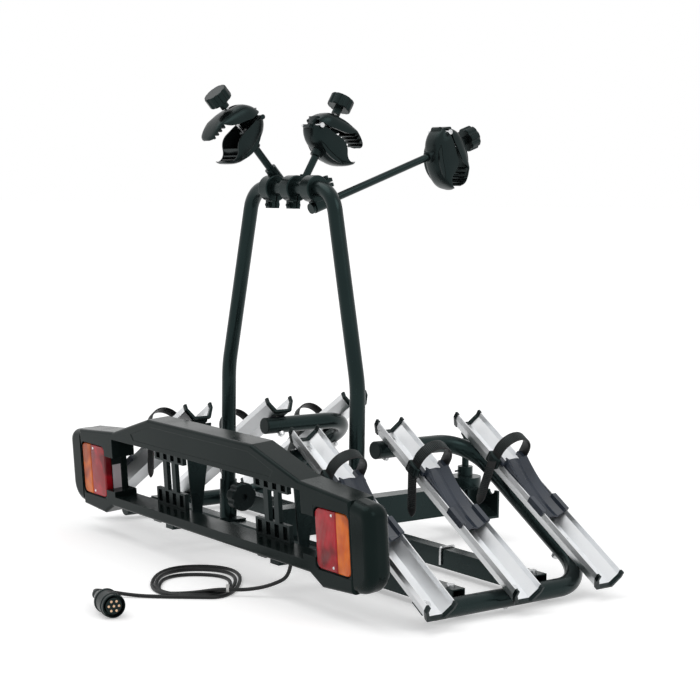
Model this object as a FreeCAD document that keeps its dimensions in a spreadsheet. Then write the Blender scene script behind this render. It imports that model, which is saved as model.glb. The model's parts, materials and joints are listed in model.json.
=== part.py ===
import FreeCAD, Part
import math
import os
import Sketcher
from FreeCAD import Placement, Rotation, Vector

# Hitch bike rack with three wheel channels on each side, a support hoop and a lamp board.
# X runs across the vehicle, Y points forward to the tow ball, Z is up.
# The origin lies on the floor under the middle of the rack.

# Driving sizes in millimetres and degrees
SIZES = {
    # Wheel channels, sloping down to both sides
    "rail_length": 468.0,
    "rail_width": 62.0,
    "rail_base_width": 34.0,
    "rail_depth": 32.0,
    "rail_lip": 11.0,
    "rail_wall": 2.2,
    "rail_tilt": 31.9,
    "rail_inner_x": 190.0,
    "rail_top_z": 304.0,
    "rail_pitch": 202.0,
    "rail_middle_y": -32.5,
    "cap_length": 8.0,
    "cap_wall": 5.0,
    "cap_proud": 1.2,
    # Bent side tubes under the channels
    "tube_diameter": 35.0,
    "tube_wall": 2.0,
    "tube_bend": 80.0,
    "upper_tube_x": 192.0,
    "upper_tube_rear_y": -65.0,
    "lower_tube_x": 545.0,
    "lower_tube_rear_y": -205.0,
    "tube_tab_width": 32.0,
    "tube_tab_thickness": 5.0,
    "tube_tab_root": 15.0,
    "plug_depth": 14.0,
    "plug_flange": 4.0,
    # Cross beams and spine
    "beam_width": 29.0,
    "beam_height": 37.5,
    "beam_bottom_z": 12.0,
    "beam_wall": 2.5,
    "middle_beam_y": 61.0,
    "spine_width": 40.0,
    "spine_height": 60.0,
    "spine_wall": 3.0,
    "spine_rear_y": -164.0,
    "spine_front_y": 290.0,
    "beam_bolt_x": 505.0,
    "bolt_diameter": 8.0,
    "bolt_clearance": 0.3,
    "nut_radius": 7.5,
    "nut_height": 6.5,
    "bolt_dome": 3.5,
    "bolt_head": 4.5,
    "bolt_tail": 3.0,
    # Coupling over the tow ball
    "ball_y": 332.0,
    "ball_z": 88.0,
    "ball_socket_radius": 25.4,
    "head_radius": 35.0,
    "head_bottom_z": 60.0,
    "head_top_z": 128.0,
    "head_block_width": 90.0,
    "collar_radius": 16.5,
    "collar_top_z": 150.0,
    "spindle_radius": 7.5,
    "spindle_top_z": 211.0,
    "lever_length": 30.0,
    "lever_width": 12.0,
    "lever_thickness": 6.0,
    "ball_pad_radius": 10.0,
    "ball_pad_height": 5.0,
    "ball_pad_lift": 2.0,
    "wing_reach": 96.0,
    "wing_length": 50.0,
    "wing_drop": 26.0,
    "wing_wall": 5.0,
    "wing_top_z": 108.0,
    "wing_notch_radius": 9.0,
    # Support hoop and its sockets
    "hoop_y": -137.0,
    "hoop_diameter": 30.0,
    "hoop_wall": 2.0,
    "hoop_leg_x": 225.0,
    "hoop_shoulder_z": 376.0,
    "hoop_shoulder_bend": 200.0,
    "hoop_top_x": 136.0,
    "hoop_top_z": 748.0,
    "hoop_corner_bend": 55.0,
    "socket_wall": 3.0,
    "socket_top_z": 132.0,
    "knob_z": 103.0,
    "knob_radius": 30.0,
    "knob_thickness": 25.0,
    "knob_hub_radius": 14.0,
    "knob_hub_length": 16.0,
    "stud_radius": 4.0,
    "boss_radius": 10.0,
    "boss_length": 4.0,
    # Clamp arms on the top bar: place, lean of the rod, its offset, start and end
    "arm_1_x": -67.0,
    "arm_1_lean": 42.5,
    "arm_1_offset": 22.0,
    "arm_1_start": 16.0,
    "arm_1_end": 100.0,
    "arm_1_ear_turn": 137.5,
    "arm_1_jaw_turn": 180.0,
    "arm_1_mouth": 22.0,
    "arm_2_x": 6.0,
    "arm_2_lean": -29.6,
    "arm_2_offset": 14.0,
    "arm_2_start": 22.0,
    "arm_2_end": 95.6,
    "arm_2_ear_turn": 209.6,
    "arm_2_jaw_turn": 0.0,
    "arm_2_mouth": 13.0,
    "arm_3_x": 75.0,
    "arm_3_lean": -69.8,
    "arm_3_offset": 34.7,
    "arm_3_start": -20.0,
    "arm_3_end": 303.0,
    "arm_3_ear_turn": 0.0,
    "arm_3_jaw_turn": 0.0,
    "arm_3_mouth": 8.0,
    "arm_collar_radius": 26.0,
    "arm_collar_width": 30.0,
    "arm_boss_radius": 12.0,
    "arm_rod_radius": 7.5,
    "arm_rod_bore": 4.8,
    "running_gap": 0.05,
    "seat_gap": 0.3,
    "clamp_slit": 3.0,
    "clamp_ear_length": 14.0,
    "clamp_ear_thickness": 7.0,
    "clamp_bolt_radius": 3.0,
    "clamp_head_radius": 6.0,
    # Gripping jaws at the ends of the arms
    "jaw_width": 64.0,
    "jaw_tip_width": 48.0,
    "jaw_reach": 82.0,
    "jaw_hinge_v": -37.0,
    "jaw_hinge_w": 35.0,
    "jaw_skin": 3.5,
    "jaw_pin_radius": 3.0,
    "jaw_pin_reach": 35.5,
    "jaw_pin_head_radius": 5.0,
    "jaw_ear_x": 22.2,
    "jaw_knuckle_radius": 8.5,
    "jaw_knuckle_width": 43.0,
    "jaw_rib_start": 45.0,
    "jaw_rib_pitch": 9.0,
    "jaw_rib_thickness": 2.5,
    "screw_radius": 4.0,
    "jaw_knob_radius": 25.0,
    "jaw_knob_thickness": 24.0,
    "jaw_knob_turn": 11.0,
    "jaw_stem_radius": 9.0,
    "jaw_stem_length": 14.0,
    "jaw_stem_start": 83.6,
    "jaw_dome_lift": 52.0,
    # Lamp board across the rear
    "board_y": -344.0,
    "board_pivot_z": 110.0,
    "board_lean": 4.5,
    "board_depth": 52.0,
    "board_wall": 3.5,
    "board_seam_x": 490.0,
    "board_end_x": 540.0,
    "board_crown_x": 190.0,
    "board_crown_z": 280.0,
    "board_knee_x": 340.0,
    "board_knee_z": 235.0,
    "board_seam_top_z": 223.0,
    "board_seam_bottom_z": 58.0,
    "board_dip_x": 397.0,
    "board_dip_z": 52.0,
    "board_step_x": 360.0,
    "board_step_z": 72.0,
    "board_edge_round": 6.0,
    "board_end_round": 18.0,
    "board_end_top_round": 24.0,
    "board_end_foot_round": 45.0,
    "board_end_back_round": 20.0,
    "board_end_wall": 9.0,
    "panel_depth": 0.8,
    "notch_bottom_z": 105.0,
    "notch_top_z": 178.0,
    "window_x": 345.0,
    "window_bottom_z": 94.0,
    "window_top_z": 219.0,
    "lamp_inner_x": 384.0,
    "lamp_outer_x": 483.0,
    "lamp_bottom_z": 86.0,
    "lamp_top_z": 196.0,
    "lamp_gap": 2.0,
    "lamp_depth": 40.0,
    "lamp_wall": 2.0,
    "lens_thickness": 16.0,
    "lens_set_back": 1.0,
    "amber_width": 38.0,
    "lens_skin": 2.0,
    "light_window_z": 127.0,
    "light_window_height": 58.0,
    "holder_x": 185.0,
    "holder_width": 112.0,
    "holder_set_back": 43.0,
    "holder_pad_height": 33.0,
    "holder_web_width": 15.0,
    "holder_web_spread": 34.0,
    "holder_rib": 6.0,
    "support_x": 192.0,
    "support_thickness": 4.0,
    "support_top_width": 65.0,
    "support_foot_width": 24.0,
    "support_taper_z": 85.0,
    "support_foot_out": 10.0,
    "support_flange_length": 44.0,
    "support_top_z": 262.0,
    "arm_bar_width": 28.0,
    "arm_bar_height": 5.0,
    "bar_step_y": -296.0,
    "bar_tab_length": 34.0,
    # Wheel cradles and straps
    "cradle_start": 164.0,
    "cradle_end": 306.0,
    "cradle_lowest": 282.0,
    "cradle_wheel_radius": 340.0,
    "cradle_thickness": 3.5,
    "cradle_rim_y": 27.0,
    "cradle_rim_z": -3.5,
    "cradle_depth": 10.0,
    "cradle_valley_y": 12.0,
    "cradle_ridge": 3.0,
    "cradle_flank": 3.0,
    "cradle_flank_foot": -10.0,
    "cradle_clip_start": 262.0,
    "cradle_clip_drop": 9.0,
    "cradle_gap": 0.4,
    "cradle_lug_start": 140.0,
    "cradle_lug_height": 8.0,
    "left_shift": 40.0,
    "strap_start": 146.0,
    "strap_width": 24.0,
    "strap_thickness": 3.0,
    "strap_rise": 56.0,
    "strap_reach": 37.3,
    "strap_near_z": -8.0,
    "strap_far_z": 1.0,
    "strap_tail": 92.0,
    "strap_tip": 14.0,
    "strap_lean_1": 0.0,
    "strap_lean_2": 0.0,
    "strap_lean_3": 22.0,
    "buckle_length": 34.0,
    "buckle_height": 24.0,
    "buckle_width": 9.0,
    # Wire clip over the middle beam
    "clip_wire": 5.0,
    "clip_x": 262.0,
    "clip_bend": 3.0,
    # Lighting cable, its hank on the floor and its plug
    "cable_diameter": 7.0,
    "gland_x": 268.0,
    "gland_radius": 7.5,
    "gland_top": -30.0,
    "gland_foot": -44.0,
    "hank_x": 159.0,
    "hank_y": -464.0,
    "hank_turn": 53.13,
    "hank_half_width": 66.0,
    "hank_lane": 8.2,
    "hank_corner": 40.0,
    "hank_depth_1": 150.0,
    "hank_depth_2": 200.0,
    "hank_depth_3": 235.0,
    "hank_over_z": 12.3,
    "hank_clear": 0.5,
    "tie_width": 5.0,
    "tie_thickness": 1.6,
    "plug_x": 111.0,
    "plug_y": -628.4,
    "plug_turn": -9.8,
    "plug_radius": 22.0,
    "plug_shell_length": 46.0,
    "plug_cone_length": 34.0,
    "plug_nut_length": 16.0,
    "plug_nut_radius": 9.0,
    "plug_recess": 12.0,
}

doc = FreeCAD.newDocument("hitch_bike_rack")
sheet = doc.addObject("Spreadsheet::Sheet", "Sizes")
for row, (name, number) in enumerate(SIZES.items(), start=1):
    sheet.set("A%d" % row, name)
    sheet.set("B%d" % row, str(number))
    sheet.setAlias("B%d" % row, name)
doc.recompute()


class Size:
    """A length that also remembers how it is worked out from the sheet."""

    def __init__(self, number, text):
        self.number = float(number)
        self.text = text

    def __float__(self):
        return self.number

    def joined(self, other, sign, swap=False):
        a, b = (as_size(other), self) if swap else (self, as_size(other))
        text = "(%s %s %s)" % (a.text, sign, b.text)
        if sign == "+":
            return Size(a.number + b.number, text)
        if sign == "-":
            return Size(a.number - b.number, text)
        if sign == "*":
            return Size(a.number * b.number, text)
        return Size(a.number / b.number, text)

    def __add__(self, other):
        return self.joined(other, "+")

    def __radd__(self, other):
        return self.joined(other, "+", True)

    def __sub__(self, other):
        return self.joined(other, "-")

    def __rsub__(self, other):
        return self.joined(other, "-", True)

    def __mul__(self, other):
        return self.joined(other, "*")

    def __rmul__(self, other):
        return self.joined(other, "*", True)

    def __truediv__(self, other):
        return self.joined(other, "/")

    def __neg__(self):
        return self.joined(-1, "*")


def as_size(value):
    if isinstance(value, Size):
        return value
    return Size(value, "%.6f" % value)


class Sheet:
    """Reads the sizes back from the sheet's cells."""

    def __getattr__(self, name):
        return Size(sheet.get(name), "Sizes." + name)


S = Sheet()
parts = []
UP = Vector(0, 0, 1)
ACROSS = Vector(1, 0, 0)
FORWARD = Vector(0, 1, 0)
ORIGIN = Vector(0, 0, 0)


def point(x, y, z):
    return Vector(float(x), float(y), float(z))


def bind(piece, prop, value):
    piece.setExpression(prop, as_size(value).text)


def seat(piece, x, y, z):
    for axis, value in zip("xyz", (x, y, z)):
        bind(piece, "Placement.Base." + axis, value)


def export(piece, label):
    piece.Label = label
    parts.append(piece)
    return piece


# Parametric building blocks
def box(name, length, width, height, corner):
    piece = doc.addObject("Part::Box", name)
    bind(piece, "Length", length)
    bind(piece, "Width", width)
    bind(piece, "Height", height)
    seat(piece, *corner)
    return piece


def cylinder(name, radius, height, base, turn=None):
    piece = doc.addObject("Part::Cylinder", name)
    bind(piece, "Radius", radius)
    bind(piece, "Height", height)
    if turn is not None:
        piece.Placement = Placement(ORIGIN, turn)
    seat(piece, *base)
    return piece


def sphere(name, radius, centre):
    piece = doc.addObject("Part::Sphere", name)
    bind(piece, "Radius", radius)
    seat(piece, *centre)
    return piece


def fuse(name, *pieces):
    piece = doc.addObject("Part::MultiFuse", name)
    piece.Shapes = list(pieces)
    piece.Refine = True
    return piece


def cut(name, base, *tools):
    piece = doc.addObject("Part::Cut", name)
    piece.Base = base
    piece.Tool = tools[0] if len(tools) == 1 else fuse(name + "_tools", *tools)
    return piece


def pair(label, piece):
    """The piece and its mirror image as two solids of one sub-part."""
    other = doc.addObject("Part::Mirroring", label + "_mirror")
    other.Source = piece
    other.Normal = ACROSS
    both = doc.addObject("Part::Compound", label)
    both.Links = [piece, other]
    return export(both, label)


def mirrored(label, piece):
    other = doc.addObject("Part::Mirroring", label)
    other.Source = piece
    other.Normal = ACROSS
    return export(other, label)


def feature(label, shape, placement=None):
    piece = doc.addObject("Part::Feature", label)
    piece.Shape = shape
    if placement is not None:
        piece.Placement = placement * shape.Placement
    return piece


def profile(body, name, role, corners):
    """A closed outline in a body's own plane with every corner bound to the sheet."""
    plane = [item for item in body.Origin.OriginFeatures if item.Role == role][0]
    sketch = body.newObject("Sketcher::SketchObject", name)
    sketch.AttachmentSupport = [(plane, "")]
    sketch.MapMode = "FlatFace"
    spots = [point(u, v, 0) for u, v in corners]
    for start, end in zip(spots, spots[1:] + spots[:1]):
        sketch.addGeometry(Part.LineSegment(start, end), False)
    count = len(spots)
    for index in range(count):
        sketch.addConstraint(Sketcher.Constraint("Coincident", index, 2, (index + 1) % count, 1))
    for index, (u, v) in enumerate(corners):
        for kind, value in (("DistanceX", u), ("DistanceY", v)):
            number = sketch.addConstraint(Sketcher.Constraint(kind, -1, 1, index, 1, float(value)))
            sketch.setExpression("Constraints[%d]" % number, as_size(value).text)
    return sketch


def padded(name, role, corners, length):
    body = doc.addObject("PartDesign::Body", name)
    sketch = profile(body, name + "_outline", role, corners)
    pad = body.newObject("PartDesign::Pad", name + "_pad")
    pad.Profile = sketch
    bind(pad, "Length", length)
    body.Tip = pad
    return body


# Shape helpers for bent and freely shaped pieces
def bent_path(points, radii):
    """Straight runs joined by tangent arcs, one radius for each inner corner; arcs may meet."""
    edges = []
    start = points[0]
    for before, corner, after, radius in zip(points, points[1:], points[2:], radii):
        back = (before - corner).normalize()
        ahead = (after - corner).normalize()
        half_turn = (math.pi - back.getAngle(ahead)) / 2
        reach = radius * math.tan(half_turn)
        first = corner + back * reach
        last = corner + ahead * reach
        bisector = (back + ahead).normalize()
        middle = corner + bisector * (radius / math.cos(half_turn) - radius)
        if start.distanceToPoint(first) > 0.01:
            edges.append(Part.LineSegment(start, first).toShape())
        edges.append(Part.Arc(first, middle, last).toShape())
        start = last
    edges.append(Part.LineSegment(start, points[-1]).toShape())
    return Part.Wire(edges)


def round_sweep(path, radius):
    start = path.Edges[0].Vertexes[0].Point
    edge = path.Edges[0]
    heading = edge.tangentAt(edge.FirstParameter)
    ring = Part.Wire(Part.makeCircle(float(radius), start, heading))
    return path.makePipeShell([ring], True, True)


def rod(start, end, radius):
    along = end - start
    return Part.makeCylinder(float(radius), along.Length, start, along)


def slab(low, high):
    size = high - low
    return Part.makeBox(size.x, size.y, size.z, low)


def prism(corners, direction):
    """A flat outline of corner points drawn out along a direction."""
    face = Part.Face(Part.makePolygon(corners + corners[:1]))
    return face.extrude(direction)


def star_knob(radius, thickness, lobes, bite):
    """A lobed grip standing on the XY plane, its axis along Z."""
    disc = Part.makeCylinder(radius, thickness)
    disc = disc.makeFillet(min(3.0, thickness / 5), disc.Edges[:1] + disc.Edges[2:])
    for lobe in range(lobes):
        angle = 2 * math.pi * lobe / lobes
        hollow = radius + bite * 0.45
        spot = Vector(hollow * math.cos(angle), hollow * math.sin(angle), -1)
        disc = disc.cut(Part.makeCylinder(bite, thickness + 2, spot))
    return disc


# Frames of the channels, and of the board
def rail_frame(row):
    turn = Rotation(FORWARD, float(S.rail_tilt))
    return Placement(point(S.rail_inner_x, rail_y(row), S.rail_top_z), turn)


def rail_y(row):
    return S.rail_middle_y + S.rail_pitch * (row - 2)


def board_frame():
    turn = Rotation(ACROSS, float(S.board_lean))
    return Placement(point(0, S.board_y, S.board_pivot_z), turn)


ROWS = (1, 2, 3)
tilt = math.radians(float(S.rail_tilt))
tube_drop = S.rail_depth + S.tube_diameter / 2
tube_inset = float(S.rail_inner_x) - float(tube_drop) * math.sin(tilt)
upper_slope = (float(S.upper_tube_x) - tube_inset) / math.cos(tilt)
lower_slope = (float(S.lower_tube_x) - tube_inset) / math.cos(tilt)
bolt_hole = (S.bolt_diameter / 2) + S.bolt_clearance
beam_top_z = S.beam_bottom_z + S.beam_height
beam_half = S.lower_tube_x - S.tube_diameter / 2


# Wheel channels and their end caps
def channel(name, grow, wall, length):
    """An open channel with flared walls and upright lips, its lip plane at Z 0."""
    half = S.rail_width / 2 + grow
    base = S.rail_base_width / 2 + S.rail_wall + grow
    foot = -S.rail_depth - grow
    corners = [
        (-half, grow), (-half, -S.rail_lip), (-base, foot),
        (base, foot), (half, -S.rail_lip), (half, grow),
        (half - wall, grow), (half - wall, -S.rail_lip + wall * 0.4), (base - wall, foot + wall),
        (wall - base, foot + wall), (wall - half, -S.rail_lip + wall * 0.4), (wall - half, grow),
    ]
    return padded(name, "YZ_Plane", corners, length)


def bolt_slopes(row):
    """Places along a channel where a bolt goes through it into its tube."""
    if row == 3:
        return (upper_slope + float(S.tube_bend) + 15.0, lower_slope - float(S.tube_bend) - 15.0)
    return (upper_slope, lower_slope)


def wheel_rail(row):
    rail = channel("rail_%d_body" % row, S.rail_wall * 0, S.rail_wall, S.rail_length)
    holes = []
    for number, slope in enumerate(bolt_slopes(row)):
        name = "rail_%d_hole_%d" % (row, number)
        base = (slope - S.cap_length, 0, -S.rail_depth - 2)
        holes.append(cylinder(name, bolt_hole, S.rail_wall + 4, base))
    drilled = cut("rail_%d" % row, rail, *holes)
    drilled.Placement = rail_frame(row) * Placement(point(S.cap_length, 0, 0), Rotation())
    return drilled


def rail_caps(row):
    caps = []
    for number, slope in enumerate((S.rail_length * 0, S.cap_length + S.rail_length)):
        cap = channel("cap_%d_%d" % (row, number), S.cap_proud, S.cap_wall, S.cap_length)
        cap.Placement = rail_frame(row) * Placement(point(slope, 0, 0), Rotation())
        caps.append(cap)
    return caps


def group(name, pieces):
    both = doc.addObject("Part::Compound", name)
    both.Links = pieces
    return both


rails = export(group("wheel_rails_right", [wheel_rail(row) for row in ROWS]), "wheel_rails_right")
mirrored("wheel_rails_left", rails)
pair("rail_end_caps", group("caps_right", [cap for row in ROWS for cap in rail_caps(row)]))


# Side tubes: one bent tube on each side lies in the plane of the slope
SLOPE_FRAME = Placement(point(S.rail_inner_x, 0, S.rail_top_z), Rotation(FORWARD, float(S.rail_tilt)))


def on_slope(slope, y, drop):
    return point(slope, y, -as_size(drop))


def side_tube():
    corner_y = float(rail_y(3))
    spots = [
        on_slope(upper_slope, S.upper_tube_rear_y, tube_drop),
        on_slope(upper_slope, corner_y, tube_drop),
        on_slope(lower_slope, corner_y, tube_drop),
        on_slope(lower_slope, S.lower_tube_rear_y, tube_drop),
    ]
    path = bent_path(spots, [float(S.tube_bend)] * 2)
    radius = S.tube_diameter / 2
    bore = round_sweep(path, radius - S.tube_wall)
    tube = round_sweep(path, radius).fuse(tube_tab(0)).cut(bore)
    for row, slope in tube_bolts() + [(1, lower_slope)]:
        top = on_slope(slope, rail_y(row), S.rail_depth - 2)
        foot = on_slope(slope, rail_y(row), S.rail_depth + S.tube_diameter + 2)
        tube = tube.cut(rod(top, foot, bolt_hole))
    return tube


def tube_bolts():
    return [(2, upper_slope), (2, lower_slope)] + [(3, slope) for slope in bolt_slopes(3)]


def tube_tab(grow):
    """A flat tongue on the lower tube's top that carries the rear channel."""
    half = float(S.tube_tab_width) / 2 + grow
    root_y = float(S.lower_tube_rear_y + S.tube_tab_root)
    end_y = float(rail_y(1) - S.rail_base_width / 2)
    high = -float(S.rail_depth) + grow
    low = high - float(S.tube_tab_thickness) - grow * 2
    return slab(Vector(lower_slope - half, end_y, low), Vector(lower_slope + half, root_y, high))


right_tube = export(feature("frame_tube_right", side_tube(), SLOPE_FRAME), "frame_tube_right")
mirrored("frame_tube_left", right_tube)


def tube_plugs():
    radius = S.tube_diameter / 2
    plugs = []
    for slope, rear_y in ((upper_slope, S.upper_tube_rear_y), (lower_slope, S.lower_tube_rear_y)):
        seat_y = on_slope(slope, rear_y, tube_drop)
        flange = rod(seat_y - FORWARD * float(S.plug_flange), seat_y, radius)
        insert = rod(seat_y, seat_y + FORWARD * float(S.plug_depth), radius - S.tube_wall - 0.1)
        flange = flange.makeFillet(1.5, [flange.Edges[2]]).cut(tube_tab(float(S.seat_gap)))
        plugs.append(flange.fuse(insert))
    return Part.makeCompound(plugs)


pair("tube_end_plugs", feature("plugs_right", tube_plugs(), SLOPE_FRAME))


# Cross beams on the lower tubes, and the spine on top of them
def beam(label, y):
    length, wall = beam_half * 2, S.beam_wall
    outer = box(label + "_outer", length, S.beam_width, S.beam_height,
                (-beam_half, y - S.beam_width / 2, S.beam_bottom_z))
    inner = box(label + "_inner", length, S.beam_width - wall * 2, S.beam_height - wall * 2,
                (-beam_half, y - S.beam_width / 2 + wall, S.beam_bottom_z + wall))
    drills = [
        cylinder("%s_drill_%d" % (label, side), bolt_hole, S.beam_height + 4,
                 (S.beam_bolt_x * side, y, S.beam_bottom_z - 2))
        for side in (-1, 1)
    ]
    return export(cut(label, outer, inner, *drills), label)


beam("rear_cross_beam", S.hoop_y)
beam("middle_cross_beam", S.middle_beam_y)

spine_length = S.spine_front_y - S.spine_rear_y
spine_left = -S.spine_width / 2
spine_outer = box("spine_outer", S.spine_width, spine_length, S.spine_height,
                  (spine_left, S.spine_rear_y, beam_top_z))
spine_inner = box("spine_inner", S.spine_width - S.spine_wall * 2, spine_length,
                  S.spine_height - S.spine_wall * 2,
                  (spine_left + S.spine_wall, S.spine_rear_y, beam_top_z + S.spine_wall))
export(cut("spine_bar", spine_outer, spine_inner), "spine_bar")


# Bolts: through the channels into the tubes, and down through the beams to the floor
def rail_bolt(row, slope, gripped, tail):
    """Dome head in the channel, a nut below the piece it grips, and a tail beyond the nut."""
    y = rail_y(row)
    base = S.rail_depth - S.rail_wall
    below = S.rail_depth + gripped
    head = rod(on_slope(slope, y, base - S.bolt_dome), on_slope(slope, y, base), S.nut_radius)
    shank = rod(on_slope(slope, y, base), on_slope(slope, y, below + tail), S.bolt_diameter / 2)
    nut = rod(on_slope(slope, y, below), on_slope(slope, y, below + S.nut_height), S.nut_radius)
    return head.fuse([shank, nut])


def foot_tail():
    """From under the lower tube down a bolt to the floor."""
    below = float(S.rail_depth + S.tube_diameter)
    under_z = float(S.rail_top_z) - lower_slope * math.sin(tilt) - below * math.cos(tilt)
    return (under_z - float(S.bolt_diameter) / 2 * math.sin(tilt)) / math.cos(tilt)


def beam_bolt(y):
    x = S.beam_bolt_x
    shank = rod(point(x, y, 0), point(x, y, beam_top_z), S.bolt_diameter / 2)
    head = rod(point(x, y, beam_top_z), point(x, y, beam_top_z + S.bolt_head), S.nut_radius)
    nut_top = S.beam_bottom_z
    nut = rod(point(x, y, nut_top - S.nut_height), point(x, y, nut_top), S.nut_radius)
    return shank.fuse([head, nut])


def all_bolts():
    tube_tail = foot_tail()
    short_tail = S.nut_height + S.bolt_tail
    sloped = [rail_bolt(row, slope, S.tube_diameter, tube_tail) for row, slope in tube_bolts()]
    sloped.append(rail_bolt(1, lower_slope, S.tube_tab_thickness, short_tail))
    sloped.append(rail_bolt(1, upper_slope, S.support_thickness, short_tail))
    for bolt in sloped:
        bolt.Placement = SLOPE_FRAME
    return Part.makeCompound(sloped + [beam_bolt(S.hoop_y), beam_bolt(S.middle_beam_y)])


pair("rack_bolts", feature("bolts_right", all_bolts()))


# Coupling head with its ball socket, collar and clamp spindle
def coupling_head():
    block_height = beam_top_z + S.spine_height - S.head_bottom_z
    block = box("head_block", S.head_block_width, S.ball_y - S.spine_front_y, block_height,
                (-S.head_block_width / 2, S.spine_front_y, S.head_bottom_z))
    dome = cylinder("head_dome", S.head_radius, S.head_top_z - S.head_bottom_z,
                    (0, S.ball_y, S.head_bottom_z))
    collar = cylinder("head_collar", S.collar_radius, S.collar_top_z - S.head_top_z,
                      (0, S.ball_y, S.head_top_z))
    pin = cylinder("head_pin", S.stud_radius / 2, S.collar_radius + 12, (0, S.ball_y, S.collar_top_z - 9),
                   Rotation(ACROSS, 90))
    ball = sphere("ball_space", S.ball_socket_radius, (0, S.ball_y, S.ball_z))
    mouth = cylinder("ball_mouth", S.ball_socket_radius, S.ball_z - S.head_bottom_z + 1,
                     (0, S.ball_y, S.head_bottom_z - 1))
    pad_bore = cylinder("pad_bore", S.ball_pad_radius + S.seat_gap, pad_top_z() + S.seat_gap - S.ball_z,
                        (0, S.ball_y, S.ball_z))
    thread = cylinder("thread_bore", thread_radius() + S.running_gap, S.head_top_z - S.ball_z,
                      (0, S.ball_y, S.ball_z))
    bore = cylinder("spindle_bore", S.spindle_radius + S.running_gap, S.collar_top_z - S.head_top_z + 20,
                    (0, S.ball_y, S.head_top_z))
    solid = fuse("head_solid", block, dome, collar, pin)
    return cut("coupling_head", solid, ball, mouth, pad_bore, thread, bore)


def pad_top_z():
    return S.ball_z + S.ball_socket_radius + S.ball_pad_lift + S.ball_pad_height


def thread_radius():
    return S.spindle_radius - 1.5


export(coupling_head(), "coupling_head")
pad_foot = (0, S.ball_y, pad_top_z() - S.ball_pad_height)
export(cylinder("ball_pad", S.ball_pad_radius, S.ball_pad_height, pad_foot), "ball_pad")


def clamp_handle():
    y = S.ball_y
    thread_foot = pad_top_z() + S.seat_gap
    shaft_foot = S.head_top_z + S.seat_gap
    thread = rod(point(0, y, thread_foot), point(0, y, S.head_top_z + 1), thread_radius())
    shaft = rod(point(0, y, shaft_foot), point(0, y, S.spindle_top_z), S.spindle_radius)
    long, wide, thick = float(S.lever_length), float(S.lever_width), float(S.lever_thickness)
    lever = slab(Vector(-long / 2, -wide / 2, -thick / 2), Vector(long / 2, wide / 2, thick / 2))
    lever = lever.makeFillet(thick * 0.45, lever.Edges)
    turn = Rotation(Vector(1, 0, 0), Vector(0.42, 0.30, -0.86))
    lever.Placement = Placement(point(0, S.ball_y, S.spindle_top_z + 1), turn)
    return thread.fuse([shaft, lever])


export(feature("clamp_handle", clamp_handle()), "clamp_handle")


# Folded bracket wings on both sides of the coupling head
def bracket_wing():
    inner_x = float(S.head_block_width / 2)
    outer_x, wall, top = float(S.wing_reach), float(S.wing_wall), float(S.wing_top_z)
    low = float(beam_top_z)
    high = low + float(S.wing_drop)
    front = float(S.ball_y) + 15
    rear = front - float(S.wing_length)
    floor = prism([Vector(inner_x, rear, high), Vector(outer_x, rear, low),
                   Vector(outer_x, rear, low + wall), Vector(inner_x, rear, high + wall)],
                  FORWARD * (front - rear))
    wall_front = prism([Vector(inner_x, front - wall, high), Vector(outer_x, front - wall, low),
                        Vector(outer_x, front - wall, top), Vector(inner_x, front - wall, top)],
                       FORWARD * wall)
    notch_x = outer_x - 20
    notch = rod(Vector(notch_x, front - wall - 1, top), Vector(notch_x, front + 1, top), S.wing_notch_radius)
    cheek = slab(Vector(inner_x, rear, high), Vector(inner_x + wall, front, top))
    return floor.fuse([wall_front.cut(notch), cheek]).removeSplitter()


pair("coupling_bracket", feature("wing_right", bracket_wing()))


# Hoop sockets, the hoop itself and its two clamp knobs
socket_bore = S.hoop_diameter / 2 + S.running_gap
socket_radius = socket_bore + S.socket_wall


def hoop_socket():
    foot = (S.hoop_leg_x, S.hoop_y, beam_top_z)
    stud_spot = (S.hoop_leg_x, S.hoop_y, S.knob_z)
    inward = Rotation(FORWARD, -90)
    boss_reach = socket_radius + S.boss_length
    tube = cylinder("socket_tube", socket_radius, S.socket_top_z - beam_top_z, foot)
    boss = cylinder("socket_boss", S.boss_radius, boss_reach, stud_spot, inward)
    bore = cylinder("socket_bore", socket_bore, S.socket_top_z, foot)
    drill = cylinder("socket_drill", S.stud_radius + S.running_gap, boss_reach + 1, stud_spot, inward)
    return cut("socket_right", fuse("socket_solid", tube, boss), bore, drill)


pair("hoop_sockets", hoop_socket())


def hoop():
    leg_x, top_x = float(S.hoop_leg_x), float(S.hoop_top_x)
    foot_z = float(beam_top_z + S.seat_gap)
    half = [(leg_x, foot_z), (leg_x, float(S.hoop_shoulder_z)), (top_x, float(S.hoop_top_z))]
    outline = half + [(-x, z) for x, z in reversed(half)]
    spots = [Vector(x, float(S.hoop_y), z) for x, z in outline]
    bends = [float(S.hoop_shoulder_bend), float(S.hoop_corner_bend)]
    path = bent_path(spots, bends + bends[::-1])
    radius = S.hoop_diameter / 2
    return round_sweep(path, radius).cut(round_sweep(path, radius - S.hoop_wall))


export(feature("support_hoop", hoop()), "support_hoop")


def hoop_knob():
    """A star knob with its stud, pointing inward from the right leg's socket."""
    grip_foot = float(S.knob_hub_length)
    grip_top = grip_foot + float(S.knob_thickness)
    knob = star_knob(float(S.knob_radius), float(S.knob_thickness), 7, 7.0)
    knob.translate(UP * grip_foot)
    hub = Part.makeCylinder(float(S.knob_hub_radius), grip_foot + 2)
    recess = Part.makeCylinder(float(S.knob_hub_radius) / 2, 6, UP * (grip_top - 6))
    face_x = float(socket_radius + S.boss_length + S.seat_gap)
    stud_length = face_x - float(S.hoop_diameter) / 2 - float(S.seat_gap)
    stud = Part.makeCylinder(float(S.stud_radius), stud_length + 3, UP * -stud_length)
    solid = knob.fuse([hub, stud]).cut(recess)
    spot = Placement(point(S.hoop_leg_x - face_x, S.hoop_y, S.knob_z), Rotation(FORWARD, -90))
    return feature("hoop_knob_right", solid, spot)


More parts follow.
